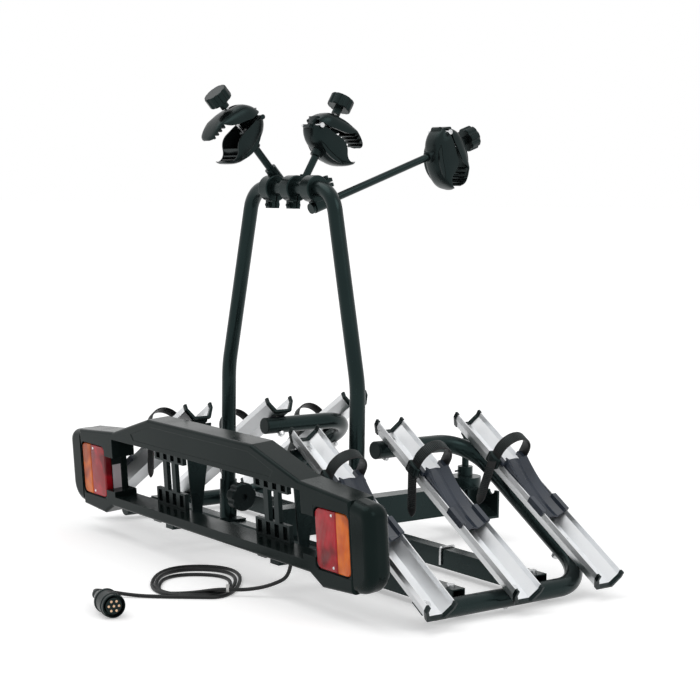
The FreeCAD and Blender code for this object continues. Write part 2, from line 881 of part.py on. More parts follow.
mirrored("hoop_knob_left", export(hoop_knob(), "hoop_knob_right"))


# Clamp arms. In an arm's own frame X runs along the bar, Z along the rod and Y across both.
class Arm:
    """The sizes of one numbered arm, and the frames of its collar and its jaw."""

    def __init__(self, number):
        self.number = number
        self.x = self.size("x")
        self.lean = self.size("lean")
        self.offset = float(self.size("offset"))
        self.start = float(self.size("start"))
        self.end = float(self.size("end"))
        self.ear_turn = float(self.size("ear_turn"))
        self.jaw_turn = float(self.size("jaw_turn"))
        self.wider = float(self.size("mouth")) - mouth_angle

    def size(self, name):
        return getattr(S, "arm_%d_%s" % (self.number, name))

    def frame(self):
        return Placement(point(self.x, S.hoop_y, S.hoop_top_z), Rotation(ACROSS, float(self.lean)))

    def jaw_frame(self):
        return self.frame() * Placement(point(0, self.offset, self.end), Rotation(UP, self.jaw_turn))

    def export(self, name, shape, frame):
        label = "%s_%d" % (name, self.number)
        return export(feature(label, shape, frame), label)


mouth_angle = 13.0
collar_half = float(S.arm_collar_width) / 2
collar_radius = float(S.arm_collar_radius)
arm_boss = float(S.arm_boss_radius)


def arm_collar(arm):
    """A split ring on the bar with two clamp ears and a boss that holds the rod."""
    ring = rod(ACROSS * -collar_half, ACROSS * collar_half, collar_radius)
    ring = ring.makeFillet(2.5, [edge for edge in ring.Edges if edge.Closed])
    low = -arm_boss if arm.start < 0 else 0.0
    high = arm_boss + 4 if arm.start < 0 else collar_radius + 8
    boss = rod(Vector(0, arm.offset, low), Vector(0, arm.offset, high), arm_boss)
    neck = slab(Vector(-arm_boss, 0, low), Vector(arm_boss, arm.offset, min(high, arm_boss + 2)))
    solid = ring.fuse([boss, neck] + clamp_ears(arm))
    solid = solid.cut(rod(ACROSS * (-collar_half - 1), ACROSS * (collar_half + 1), socket_bore))
    rod_foot, rod_top = Vector(0, arm.offset, arm.start), Vector(0, arm.offset, high + 1)
    rod_space = rod(rod_foot, rod_top, S.arm_rod_radius + S.running_gap)
    return solid.cut([rod_space, clamp_gap(arm)]).removeSplitter()


def turned(arm, shape):
    shape.Placement = Placement(ORIGIN, Rotation(ACROSS, arm.ear_turn))
    return shape


slit = float(S.clamp_slit) / 2
ear_outer = slit + float(S.clamp_ear_thickness)
ear_top = collar_radius + float(S.clamp_ear_length)
clamp_bolt_z = ear_top - 7


def clamp_ears(arm):
    width = collar_half - 3
    ears = []
    for low, high in ((-ear_outer, -slit), (slit, ear_outer)):
        ear = slab(Vector(-width, low, float(socket_bore) + 3), Vector(width, high, ear_top))
        hole = rod(Vector(0, low - 1, clamp_bolt_z), Vector(0, high + 1, clamp_bolt_z),
                   S.clamp_bolt_radius + S.bolt_clearance)
        ears.append(turned(arm, ear.cut(hole)))
    return ears


def clamp_gap(arm):
    gap = slab(Vector(-collar_half - 1, -slit, float(socket_bore) - 3),
               Vector(collar_half + 1, slit, ear_top + 1))
    return turned(arm, gap)


def clamp_bolt(arm):
    """The bolt through both ears, with a round head and a nut."""
    low, high = Vector(0, -ear_outer, clamp_bolt_z), Vector(0, ear_outer, clamp_bolt_z)
    shank = rod(low, high + FORWARD * 8, S.clamp_bolt_radius)
    head = rod(low - FORWARD * 5, low, S.clamp_head_radius)
    nut = rod(high, high + FORWARD * 5, S.clamp_head_radius)
    return turned(arm, shank.fuse([head, nut]))


def arm_rod(arm):
    start = Vector(0, arm.offset, arm.start + float(S.seat_gap) / 2)
    end = Vector(0, arm.offset, arm.end + 4)
    solid = rod(start, end, S.arm_rod_radius)
    if arm.start < 0:
        solid = solid.fuse(rod(start, start + UP * 6, S.arm_rod_radius + 3))
    bore_start = end - UP * 60
    return solid.cut(rod(bore_start, end + UP, S.arm_rod_bore))


# Jaws. In a jaw's own frame the rod ends at the origin along Z, and the mouth opens towards Y.
def curved_face(first, *stretches):
    """A closed outline in the YZ plane; a stretch is an end point, or a middle and an end point."""
    edges = []
    start = Vector(0, *first)
    for stretch in stretches:
        spots = [Vector(0, *spot) for spot in stretch]
        if len(spots) == 1:
            edges.append(Part.LineSegment(start, spots[0]).toShape())
        else:
            edges.append(Part.Arc(start, spots[0], spots[1]).toShape())
        start = spots[-1]
    return Part.Face(Part.Wire(edges))


def wide(face, half):
    face.translate(ACROSS * -half)
    return face.extrude(ACROSS * (half * 2))


jaw_half = float(S.jaw_width) / 2
jaw_tip_half = float(S.jaw_tip_width) / 2
jaw_reach = float(S.jaw_reach)
hinge = point(0, S.jaw_hinge_v, S.jaw_hinge_w)
knuckle_half = float(S.jaw_knuckle_width) / 2
ear_inner = float(S.jaw_ear_x)


def jaw_plan(inset):
    """The jaw seen along the rod: wide at the hinge and drawn in to a rounded tip."""
    heel = hinge.y - 12 + inset
    side = [
        (-jaw_half + 5, heel), (-jaw_half + inset, heel + 12), (-jaw_half + inset, jaw_reach * 0.4),
        (-jaw_tip_half + inset, jaw_reach - 6), (-jaw_tip_half + 8, jaw_reach + 6 - inset),
    ]
    corners = [Vector(x, y, -40) for x, y in side + [(-x, y) for x, y in reversed(side)]]
    return prism(corners, UP * 180)


def jaw_ribs():
    """The slices of space that the ribs across a jaw's tip take up."""
    slices = []
    for number in range(4):
        start = float(S.jaw_rib_start + S.jaw_rib_pitch * number)
        end = start + float(S.jaw_rib_thickness)
        slices.append(slab(Vector(-jaw_half, start, -50), Vector(jaw_half, end, 150)))
    return Part.makeCompound(slices)


def jaw_hollow(face):
    """The space inside a jaw, crossed by ribs towards the tip."""
    return wide(face, jaw_half).common(jaw_plan(float(S.jaw_skin))).cut(jaw_ribs())


def lower_jaw():
    outline = curved_face((-46, 35), [(-36, 12), (-8, -2)], [(40, -9), (82, 18)], [(80, 22)],
                          [(61, 12.5), (48, 20)], [(38, 32), (18, 38.5)], [(-28.7, 38.5)],
                          [(-37, 44), (-46, 35)])
    hollow = curved_face((-26, 60), [(-26, 15)], [(-8, 3)], [(38, -4.5), (75, 15)], [(75, 60)], [(-26, 60)])
    solid = wide(outline, jaw_half).common(jaw_plan(0)).cut(jaw_hollow(hollow))
    boss = rod(UP * -14, UP * 12, arm_boss)
    guide = rod(ORIGIN, UP * 30, S.jaw_stem_radius)
    clear = ACROSS * ear_inner
    gap = rod(hinge - clear, hinge + clear, S.jaw_knuckle_radius + 2)
    room = slab(Vector(-ear_inner, -16, -11) + hinge, Vector(ear_inner, 18, 33) + hinge)
    drill = rod(hinge - ACROSS * 50, hinge + ACROSS * 50, S.jaw_pin_radius + S.running_gap)
    socket = rod(UP * -20, UP * (4 + float(S.seat_gap)), S.arm_rod_radius + S.running_gap)
    screw_hole = rod(UP * -20, UP * 60, S.screw_radius + 0.6)
    solid = solid.fuse([boss, guide])
    return solid.cut([gap, room, drill, socket, screw_hole]).removeSplitter()


def jaw_pin():
    """The hinge pin with a small head at one end."""
    reach = float(S.jaw_pin_reach)
    pin = rod(hinge - ACROSS * reach, hinge + ACROSS * (jaw_half + 3), S.jaw_pin_radius)
    head = rod(hinge + ACROSS * (jaw_half + 0.3), hinge + ACROSS * (jaw_half + 3), S.jaw_pin_head_radius)
    return pin.fuse(head)


def upper_jaw(arm):
    outline = curved_face((-47.5, 42), [(-32, 67), (4, 79)], [(48, 76), (81, 57)], [(79, 53)],
                          [(62, 64), (46, 68)], [(31, 57)], [(20, 52.5)], [(0, 48)], [(-18, 43.5)],
                          [(-31.7, 44.2)], [(-37, 45.5), (-46, 40.4)], [(-47.5, 42)])
    solid = wide(outline, jaw_half).common(jaw_plan(0))
    hollow = curved_face((-22, 40), [(-22, 66)], [(2, 74), (26, 75)], [(38, 73.5), (48, 69.5)],
                         [(48, 40)], [(-22, 40)])
    combs = curved_face((44, 72), [(80, 56.5)], [(78, 51.5)], [(44, 61)], [(44, 72)])
    combs = wide(combs, jaw_half).common(jaw_plan(0)).common(jaw_ribs())
    knuckle = rod(hinge - ACROSS * knuckle_half, hinge + ACROSS * knuckle_half, S.jaw_knuckle_radius)
    neck = slab(Vector(-knuckle_half, -8.5, 0) + hinge, Vector(knuckle_half, 8.5, 15) + hinge)
    solid = solid.cut(jaw_hollow(hollow)).fuse([combs, knuckle, neck])
    drill = rod(hinge - ACROSS * 50, hinge + ACROSS * 50, S.jaw_pin_radius + S.running_gap)
    slot_half = float(S.screw_radius) + 1.5
    slot = slab(Vector(-slot_half, -18, 40), Vector(slot_half, 14, 100))
    solid = solid.cut([drill, slot]).removeSplitter()
    solid.rotate(hinge, ACROSS, arm.wider)
    return solid


def knob_lift(arm):
    """A wider mouth holds the knob further out along the screw."""
    return math.radians(arm.wider) * float(S.jaw_dome_lift)


knob_start = float(S.jaw_stem_start)
knob_foot = knob_start + float(S.jaw_stem_length)
screw_end = knob_foot + float(S.jaw_knob_thickness) - 6


def jaw_screw(arm):
    return rod(UP * 12, UP * (screw_end + knob_lift(arm)), S.screw_radius)


def jaw_knob(arm):
    knob = star_knob(float(S.jaw_knob_radius), float(S.jaw_knob_thickness), 8, 6.0)
    knob.translate(UP * knob_foot)
    stem = rod(UP * knob_start, UP * (knob_foot + 2), S.jaw_stem_radius)
    bore = rod(UP * (knob_start - 1), UP * (screw_end + float(S.seat_gap)), S.screw_radius + S.running_gap)
    solid = knob.fuse(stem).cut(bore)
    solid.rotate(ORIGIN, UP, float(S.jaw_knob_turn))
    solid.translate(UP * knob_lift(arm))
    return solid


for arm in (Arm(1), Arm(2), Arm(3)):
    held = Part.makeCompound([arm_collar(arm), clamp_bolt(arm), arm_rod(arm)])
    arm.export("clamp_arm", held, arm.frame())
    arm.export("lower_jaw", Part.makeCompound([lower_jaw(), jaw_pin()]), arm.jaw_frame())
    arm.export("upper_jaw", upper_jaw(arm), arm.jaw_frame())
    arm.export("jaw_screw", jaw_screw(arm), arm.jaw_frame())
    arm.export("jaw_knob", jaw_knob(arm), arm.jaw_frame())


# Lamp board. In its own frame X runs across, Y goes back from the front face, Z up from the pivot.
def board_corner(x, z):
    return Vector(float(x), 0, float(z) - float(S.board_pivot_z))


def board_slab(x_range, y_range, z_range, grow=0):
    low = board_corner(x_range[0] - grow, z_range[0] - grow) + FORWARD * float(y_range[0])
    high = board_corner(x_range[1] + grow, z_range[1] + grow) + FORWARD * float(y_range[1])
    return slab(low, high)


window_x = (-S.window_x, S.window_x)
window_z = (S.window_bottom_z, S.window_top_z)
lamp_x = (S.lamp_inner_x, S.lamp_outer_x)
lamp_z = (S.lamp_bottom_z, S.lamp_top_z)
through = (-1, S.board_depth + 1)


def board_outline():
    right = [
        (S.board_crown_x, S.board_crown_z), (S.board_knee_x, S.board_knee_z),
        (S.board_seam_x, S.board_seam_top_z), (S.board_seam_x, S.board_seam_bottom_z),
        (S.board_dip_x, S.board_dip_z), (S.board_step_x, S.board_step_z),
    ]
    return [board_corner(x, z) for x, z in right + [(-x, z) for x, z in reversed(right)]]


def header_panel():
    """The shallow field pressed into the face above the window."""
    half, low, high = float(S.board_crown_x), float(S.window_top_z) + 10, float(S.board_crown_z) - 14
    right = [(half - 8, high), (half + 70, low + 12), (half + 60, low)]
    corners = [board_corner(x, z) for x, z in right + [(-x, z) for x, z in reversed(right)]]
    return prism(corners, FORWARD * float(S.panel_depth))


def side_notch(side, grow):
    """The window's arm out to a lamp, so that the lamp's inner side faces the plate."""
    x_range = sorted([side * (S.window_x - 10), side * (S.lamp_inner_x - S.lamp_gap)], key=float)
    return board_slab(x_range, through, (S.notch_bottom_z, S.notch_top_z), grow)


def lamp_board():
    depth, wall = float(S.board_depth), float(S.board_wall)
    outline = board_outline()
    face = Part.Face(Part.makePolygon(outline + outline[:1]))
    solid = face.extrude(FORWARD * depth)
    front = [edge for edge in solid.Edges if edge.BoundBox.YMax < 0.01]
    solid = solid.makeFillet(float(S.board_edge_round), front)
    cavity = face.makeOffset2D(-wall).extrude(FORWARD * depth)
    cavity.translate(FORWARD * wall)
    cavity = cavity.cut(board_slab(window_x, through, window_z, wall))
    solid = solid.cut([cavity, header_panel()]).cut(board_slab(window_x, through, window_z))
    for side in (-1, 1):
        rim = side_notch(side, wall).common(cavity).cut(lamp_space(side))
        x_range = sorted([side * x for x in lamp_x], key=float)
        opening = board_slab(x_range, (-1, wall + 1), lamp_z, S.lamp_gap)
        solid = solid.fuse(rim).cut(side_notch(side, 0)).cut(opening)
    gland_hole = rod(gland_spot(-60), gland_spot(-20), S.gland_radius + S.seat_gap)
    return solid.cut(gland_hole).removeSplitter()


def lamp_space(side):
    x_range = sorted([side * x for x in lamp_x], key=float)
    return board_slab(x_range, (-1, S.lamp_depth + 1), lamp_z, float(S.lamp_wall) + 1)


def gland_spot(height):
    return Vector(float(S.gland_x), float(S.board_depth) / 2, height)


export(feature("lamp_board", lamp_board(), board_frame()), "lamp_board")


def board_end():
    """A rounded end, hollow towards the board."""
    depth = float(S.board_depth)
    wall = float(S.board_end_wall)
    inner_x = S.board_seam_x + S.seat_gap
    outer_x = S.board_end_x
    low, high = S.board_seam_bottom_z, S.board_seam_top_z
    corners = [board_corner(inner_x, low), board_corner(outer_x, low + 6),
               board_corner(outer_x, high - 8), board_corner(inner_x, high)]
    block = prism(corners, FORWARD * depth)
    top = [edge for edge in outer_edges(block, depth) if edge.BoundBox.ZMin > 0]
    block = block.makeFillet(float(S.board_end_top_round), top)
    foot = [edge for edge in outer_edges(block, depth) if edge.BoundBox.ZMax < 0]
    block = block.makeFillet(float(S.board_end_foot_round), foot)
    past_seam = [edge for edge in block.Edges if edge.BoundBox.XMax > float(inner_x) + 1]
    front = [edge for edge in past_seam if edge.BoundBox.YMax < 0.01]
    block = block.makeFillet(float(S.board_end_round), front)
    past_seam = [edge for edge in block.Edges if edge.BoundBox.XMax > float(inner_x) + 1]
    back = [edge for edge in past_seam if edge.BoundBox.YMin > depth - 0.01]
    block = block.makeFillet(float(S.board_end_back_round), back)
    hollow = board_slab((inner_x - 1, outer_x - wall * 2), (wall, depth - wall),
                        (low + wall * 3, high - wall * 2))
    return block.cut(hollow)


def outer_edges(block, depth):
    """The edges along the depth at a board end's outer side."""
    far = float(S.board_end_x) - 1
    return [edge for edge in block.Edges if edge.BoundBox.XMin > far and edge.BoundBox.YLength > depth - 1]


pair("board_end_caps", feature("board_end_right", board_end(), board_frame()))

lens_front = S.lens_set_back
tray_floor = S.lamp_depth - S.lamp_wall
amber_start = S.lamp_outer_x - S.amber_width
window_low_z = S.light_window_z - S.light_window_height / 2
light_z = (window_low_z, window_low_z + S.light_window_height)
light_y = (lens_front + S.lens_thickness + S.seat_gap, tray_floor - 1)


def lamp_housing():
    """The tray behind both lenses, open towards the plate where the lens side and its light show."""
    grow = float(S.seat_gap) * 2
    tray = board_slab(lamp_x, (S.board_wall + S.seat_gap, S.lamp_depth), lamp_z, float(S.lamp_wall) + grow)
    tray = tray.cut(board_slab(lamp_x, (0, tray_floor), lamp_z, grow))
    side = (S.lamp_inner_x - 10, S.lamp_inner_x + 1)
    tray = tray.cut(board_slab(side, (0, lens_front + S.lens_thickness), lamp_z))
    return tray.cut(board_slab(side, light_y, light_z, float(S.seat_gap)))


def lens(x_low, x_high):
    """A thin cap over its part of the tray, open at the back."""
    front, back = float(lens_front), float(lens_front + S.lens_thickness)
    outer = board_slab((x_low, x_high), (front, back), lamp_z)
    rounded = [edge for edge in outer.Edges if edge.BoundBox.YMax < front + 0.01]
    outer = outer.makeFillet(3.0, rounded)
    skin = float(S.lens_skin)
    return outer.cut(board_slab((x_low, x_high), (front + skin, back + 1), lamp_z, -skin))


def light_window():
    skin = float(S.lens_skin)
    low = S.lamp_inner_x - S.lamp_wall - S.seat_gap * 2
    return board_slab((low, low + skin), light_y, light_z)


pair("lamp_housings", feature("lamp_housing_right", lamp_housing(), board_frame()))
pair("red_lenses", feature("red_lens_right", lens(S.lamp_inner_x, amber_start - S.seat_gap), board_frame()))
pair("amber_lenses", feature("amber_lens_right", lens(amber_start, S.lamp_outer_x), board_frame()))
pair("plate_light_windows", feature("light_window_right", light_window(), board_frame()))


def plate_holder():
    """Two ribbed pads joined by two webs, standing across the window's height."""
    low_x, high_x = S.holder_x - S.holder_width / 2, S.holder_x + S.holder_width / 2
    back = (S.holder_set_back, S.board_depth)
    top_z = (S.window_top_z - S.holder_pad_height, S.window_top_z)
    foot_z = (S.window_bottom_z, S.window_bottom_z + S.holder_pad_height)
    solid = board_slab((low_x, high_x), back, top_z).fuse(board_slab((low_x, high_x), back, foot_z))
    for side in (-1, 1):
        middle = S.holder_x + S.holder_web_spread / 2 * side
        web = (middle - S.holder_web_width / 2, middle + S.holder_web_width / 2)
        solid = solid.fuse(board_slab(web, back, (foot_z[0], top_z[1])))
    pocket = S.holder_width / 4 - S.holder_rib
    for number in range(4):
        start = low_x + S.holder_rib / 2 + (S.holder_width / 4) * number
        for pad in (top_z, foot_z):
            room = board_slab((start, start + pocket), (S.holder_set_back - 1, S.board_depth - 3), pad, -4)
            solid = solid.cut(room)
    return solid.removeSplitter()


pair("plate_holders", feature("plate_holder_right", plate_holder(), board_frame()))


# Flat bars that carry the board, and the supports of the rear channel on top of them
def board_bar():
    """A flat bar on the rear beam, stepped up to a tab under the board's lower wall."""
    height = float(S.arm_bar_height)
    low = float(beam_top_z)
    front_y = float(S.hoop_y + S.beam_width / 2)
    step_y = float(S.bar_step_y)
    tab_y = step_y - float(S.bar_tab_length)
    lean = math.tan(math.radians(float(S.board_lean)))
    tab_z = board_under_z(step_y) - float(S.seat_gap)
    drop = (step_y - tab_y) * lean
    side = float(S.support_x - S.arm_bar_width / 2)
    outline = [
        (front_y, low), (step_y - height, low), (step_y - height, tab_z - height - height * lean),
        (tab_y, tab_z - height - drop), (tab_y, tab_z - drop), (step_y, tab_z),
        (step_y, low + height), (front_y, low + height),
    ]
    return prism([Vector(side, y, z) for y, z in outline], ACROSS * float(S.arm_bar_width))


def board_under_z(y):
    """Height of the board's lower wall above a place along Y."""
    lean = math.radians(float(S.board_lean))
    below = float(S.board_pivot_z - S.board_step_z)
    return float(S.board_pivot_z) - below / math.cos(lean) + (y - float(S.board_y)) * math.tan(lean)


pair("board_arms", feature("board_arm_right", board_bar()))


def rail_support():
    """A tapered upright plate with a foot and a sloped flange under the rear channel."""
    thick = float(S.support_thickness)
    foot_z = float(beam_top_z + S.arm_bar_height)
    middle = float(rail_y(1))
    top_z, taper_z = float(S.support_top_z), float(S.support_taper_z)
    wide_half, narrow_half = float(S.support_top_width) / 2, float(S.support_foot_width) / 2
    outline = [(-wide_half, top_z), (-narrow_half, taper_z), (-narrow_half, foot_z),
               (narrow_half, foot_z), (narrow_half, taper_z), (wide_half, top_z)]
    side = float(S.support_x) - thick / 2
    plate = prism([Vector(side, middle + y, z) for y, z in outline], ACROSS * thick)
    foot_out = float(S.support_foot_out)
    foot = slab(Vector(side - foot_out, middle - narrow_half, foot_z),
                Vector(side + foot_out + thick, middle + narrow_half, foot_z + thick))
    drop = float(S.rail_depth)
    half_long, half_wide = float(S.support_flange_length) / 2, float(S.rail_base_width) / 2
    flange = slab(Vector(upper_slope - half_long, middle - half_wide, -drop - thick),
                  Vector(upper_slope + half_long, middle + half_wide, -drop))
    flange = flange.cut(bolt_room(drop - 2, drop + thick + 2, bolt_hole))
    flange.Placement = SLOPE_FRAME
    nut_room = bolt_room(drop + thick, drop + 30, S.nut_radius + 0.5)
    nut_room.Placement = SLOPE_FRAME
    return plate.cut(nut_room).fuse([foot, flange]).removeSplitter()


def bolt_room(high, low, radius):
    """The space round the bolt through the rear channel's high end, between two depths."""
    return rod(on_slope(upper_slope, rail_y(1), high), on_slope(upper_slope, rail_y(1), low), radius)


pair("rail_supports", feature("rail_support_right", rail_support()))


# Wheel cradles: a W-shaped plate bent along a wheel's curve between flanks that stand in the channel
def cradle():
    rim_y, rim_z = float(S.cradle_rim_y), float(S.cradle_rim_z)
    radius, thick = float(S.cradle_wheel_radius), float(S.cradle_thickness)
    lowest, deep = float(S.cradle_lowest), float(S.cradle_depth)
    axle = Vector(lowest, 0, rim_z + radius)
    right = [(0, float(S.cradle_ridge) - deep), (float(S.cradle_valley_y), -deep), (rim_y, 0)]
    top = [(-y, z) for y, z in reversed(right[1:])] + right
    under = [(y, z - thick) for y, z in reversed(top)]
    outline = [Vector(lowest, y, rim_z + z) for y, z in top + under]
    past = math.degrees(math.asin(float(S.cradle_end - S.cradle_lowest) / radius))
    before = math.degrees(math.asin(float(S.cradle_lowest - S.cradle_start) / radius))
    face = Part.Face(Part.makePolygon(outline + outline[:1]))
    face.rotate(axle, FORWARD, -past)
    plate = face.revolve(axle, FORWARD, past + before)
    wheel = Part.makeCylinder(radius + thick / 2, 100, axle - FORWARD * 50, FORWARD)
    sides = []
    for side in (-1, 1):
        sides += [cradle_flank(side).cut(wheel), cradle_clip(side), cradle_lug(side)]
    return plate.fuse(sides).removeSplitter()


def beside(side, s_range, y_range, z_range):
    """A block at one side of the channel; its Y range is measured outward."""
    y_low, y_high = sorted(side * float(y) for y in y_range)
    return slab(point(s_range[0], y_low, z_range[0]), point(s_range[1], y_high, z_range[1]))


flank_y = (S.cradle_rim_y - S.cradle_flank, S.cradle_rim_y)
skirt_inner = S.rail_width / 2 + S.cradle_gap
skirt_outer = skirt_inner + S.cradle_flank
cradle_top = S.cradle_gap + S.cradle_flank


def cradle_flank(side):
    """The upright side between the raised plate and the inside of the channel."""
    z_range = (S.cradle_flank_foot, S.cradle_depth * 2)
    return beside(side, (S.cradle_start + 2, S.cradle_end - 1), flank_y, z_range)


def cradle_clip(side):
    """The hook that reaches over the channel's lip at the low end."""
    s_range = (S.cradle_clip_start, S.cradle_end)
    riser = beside(side, s_range, flank_y, (S.cradle_rim_z - 2, cradle_top))
    bridge = beside(side, s_range, (flank_y[0], skirt_outer), (S.cradle_gap, cradle_top))
    skirt = beside(side, s_range, (skirt_inner, skirt_outer), (-S.cradle_clip_drop, cradle_top))
    return riser.fuse([bridge, skirt])


def cradle_lug(side):
    """The lug over the lip at the high end that the strap lies against."""
    reach = S.strap_reach - S.strap_thickness - S.seat_gap
    s_range = (S.cradle_lug_start, S.cradle_start + S.cradle_flank * 2)
    return beside(side, s_range, (flank_y[0], reach), (S.cradle_gap, S.cradle_gap + S.cradle_lug_height))


# Straps: a band arched over the channel, a buckle outside its near wall and a tail hanging down
def strap(lean):
    foot = Vector(float(S.strap_start), 0, 0)
    reach, rise = float(S.strap_reach), float(S.strap_rise)
    half, thick = float(S.strap_width) / 2, float(S.strap_thickness)

    def arch(inset):
        out = reach - inset
        spots = [(-out, float(S.strap_near_z)), (-out, rise - reach), (0, rise - inset),
                 (out, rise - reach), (out, float(S.strap_far_z))]
        return [foot + FORWARD * y + UP * z - ACROSS * half for y, z in spots]

    outer = arch(0)
    inner = arch(thick)
    edges = [
        Part.LineSegment(outer[0], outer[1]), Part.Arc(outer[1], outer[2], outer[3]),
        Part.LineSegment(outer[3], outer[4]), Part.LineSegment(outer[4], inner[4]),
        Part.LineSegment(inner[4], inner[3]), Part.Arc(inner[3], inner[2], inner[1]),
        Part.LineSegment(inner[1], inner[0]), Part.LineSegment(inner[0], outer[0]),
    ]
    band = Part.Face(Part.Wire([edge.toShape() for edge in edges]))
    band = band.extrude(ACROSS * (half * 2))
    return band.fuse([buckle(), strap_tail(math.radians(float(lean)))]).removeSplitter()


buckle_inner = float(S.strap_thickness - S.strap_reach)
buckle_outer = buckle_inner - float(S.buckle_width)


def buckle():
    length, height = float(S.buckle_length), float(S.buckle_height)
    middle = float(S.strap_start)
    low = Vector(middle - length / 2, buckle_outer, -height * 0.6)
    high = Vector(middle + length / 2, buckle_inner, height * 0.4)
    body = slab(low, high)
    return body.makeFillet(2.0, body.Edges)


def strap_tail(lean):
    """The loose end hangs down whatever the channel's slope, leaning out from the channel."""
    down = Vector(math.sin(tilt) * math.cos(lean), -math.sin(lean), -math.cos(tilt) * math.cos(lean))
    side = Vector(math.cos(tilt), 0, math.sin(tilt))
    half, length = float(S.strap_width) / 2, float(S.strap_tail)
    shoulder = down * (length - float(S.strap_tip))
    start = Vector(float(S.strap_start), buckle_outer + 1, 0)
    outline = [start - side * half, start + side * half, start + side * half + shoulder,
               start + down * length, start - side * half + shoulder]
    return prism(outline, side.cross(down) * float(S.strap_thickness))


# On the left side the second and third cradle rest further down their channels
def on_both_sides(name, row, shape):
    label = "%s_right_%d" % (name, row)
    right = export(feature(label, shape, rail_frame(row)), label)
    source = right
    if row > 1:
        lower_down = rail_frame(row) * Placement(point(S.left_shift, 0, 0), Rotation())
        source = feature("%s_source_%d" % (name, row), shape, lower_down)
    mirrored("%s_left_%d" % (name, row), source)


for row, lean in zip(ROWS, (S.strap_lean_1, S.strap_lean_2, S.strap_lean_3)):
    on_both_sides("wheel_cradle", row, cradle())
    on_both_sides("wheel_strap", row, strap(lean))


# Wire clip over the middle beam
def beam_clip():
    wire_radius = float(S.clip_wire) / 2
    clear = wire_radius + float(S.seat_gap)
    near_y = float(S.middle_beam_y - S.beam_width / 2) - clear
    far_y = float(S.middle_beam_y + S.beam_width / 2) + clear
    top_z = float(beam_top_z) + clear
    x, low = float(S.clip_x), float(S.beam_bottom_z) + 6
    spots = [Vector(x, near_y, low), Vector(x, near_y, top_z),
             Vector(x, far_y, top_z), Vector(x, far_y, low)]
    return round_sweep(bent_path(spots, [float(S.clip_bend)] * 2), wire_radius)


export(feature("beam_clip", beam_clip()), "beam_clip")


# Lighting cable: gland in the board's lower wall, lead to the hank, hank, tail and plug
cable_radius = float(S.cable_diameter) / 2
floor_z = cable_radius + 0.1


def gland():
    nut_top = -float(S.board_pivot_z - S.board_step_z + S.seat_gap)
    body = rod(gland_spot(float(S.gland_foot)), gland_spot(float(S.gland_top)), S.gland_radius)
    nut = rod(gland_spot(nut_top - 4), gland_spot(nut_top), S.gland_radius + 3)
    bore = rod(gland_spot(-80), gland_spot(0), cable_radius + float(S.running_gap))
    return body.fuse(nut).cut(bore)


export(feature("cable_gland", gland(), board_frame()), "cable_gland")

HANK_FRAME = Placement(point(S.hank_x, S.hank_y, 0), Rotation(UP, float(S.hank_turn)))


def hank_spot(u, w, z):
    """A place on the hank: U along its near edge, W away from that edge."""
    return HANK_FRAME.multVec(Vector(u, w, z))


def soft_path(spots):
    """Bends as wide as the runs beside them allow."""
    radii = []
    for before, corner, after in zip(spots, spots[1:], spots[2:]):
        half_turn = (math.pi - (before - corner).getAngle(after - corner)) / 2
        shorter = min((before - corner).Length, (after - corner).Length)
        radii.append(0.45 * shorter / math.tan(half_turn))
    return bent_path(spots, radii), radii


tie_spot = hank_spot(67, float(S.hank_lane) * 3, float(S.hank_over_z))
hank_back = (hank_spot(1, 0, 0) - hank_spot(0, 0, 0)).normalize()
hank_end = hank_spot(-10, 0, floor_z)
PLUG_FRAME = Placement(point(S.plug_x, S.plug_y, S.plug_radius + S.hank_clear),
                       Rotation(UP, point(math.cos(math.radians(float(S.plug_turn))),
                                          math.sin(math.radians(float(S.plug_turn))), 0)))
plug_ahead = PLUG_FRAME.Rotation.multVec(UP)


def lead_spots():
    board = board_frame()
    gland_in, gland_out = board.multVec(gland_spot(-20)), board.multVec(gland_spot(-66))
    return [
        gland_in, gland_out, Vector(231, -334, 22),
        tie_spot + hank_back * 38, tie_spot + hank_back * float(S.seat_gap) / 2,
    ]


def tail_spots():
    plug_in = PLUG_FRAME.Base + plug_ahead * 12
    start = hank_end - hank_back * float(S.seat_gap)
    return [
        start, start - hank_back * 42, Vector(97, -541, 3.9),
        Vector(61, -581, 10), plug_in - plug_ahead * 46, plug_in,
    ]


def hank_path():
    """Three turns laid flat from the inside outward, the first strand coming in over the others."""
    lane, width, corner = float(S.hank_lane), float(S.hank_half_width), float(S.hank_corner)
    over = float(S.hank_over_z)
    depths = [float(S.hank_depth_1), float(S.hank_depth_2), float(S.hank_depth_3)]
    first_w = lane * len(depths)
    start = tie_spot - hank_back * float(S.seat_gap) / 2
    spots = [start, hank_spot(48, first_w, over), hank_spot(-10, first_w, floor_z)]
    radii = [60.0, 60.0]
    for turn, depth in enumerate(depths):
        half = width + lane * turn
        near_w = first_w - lane * turn
        far_w = near_w + depth
        spots += [hank_spot(-half, near_w, floor_z), hank_spot(-half, far_w, floor_z),
                  hank_spot(half, far_w, floor_z), hank_spot(half, near_w - lane, floor_z)]
        radii += [corner + lane * turn, half, half, corner + lane * turn]
    return bent_path(spots + [hank_end], radii), radii


def self_gap(path, diameter):
    """Least clear space between strands that are not neighbours along the cord."""
    spots = path.discretize(Distance=2.0)
    least = 1000.0
    for index, spot in enumerate(spots):
        for other in spots[index + 20:]:
            least = min(least, spot.distanceToPoint(other))
    return least - diameter


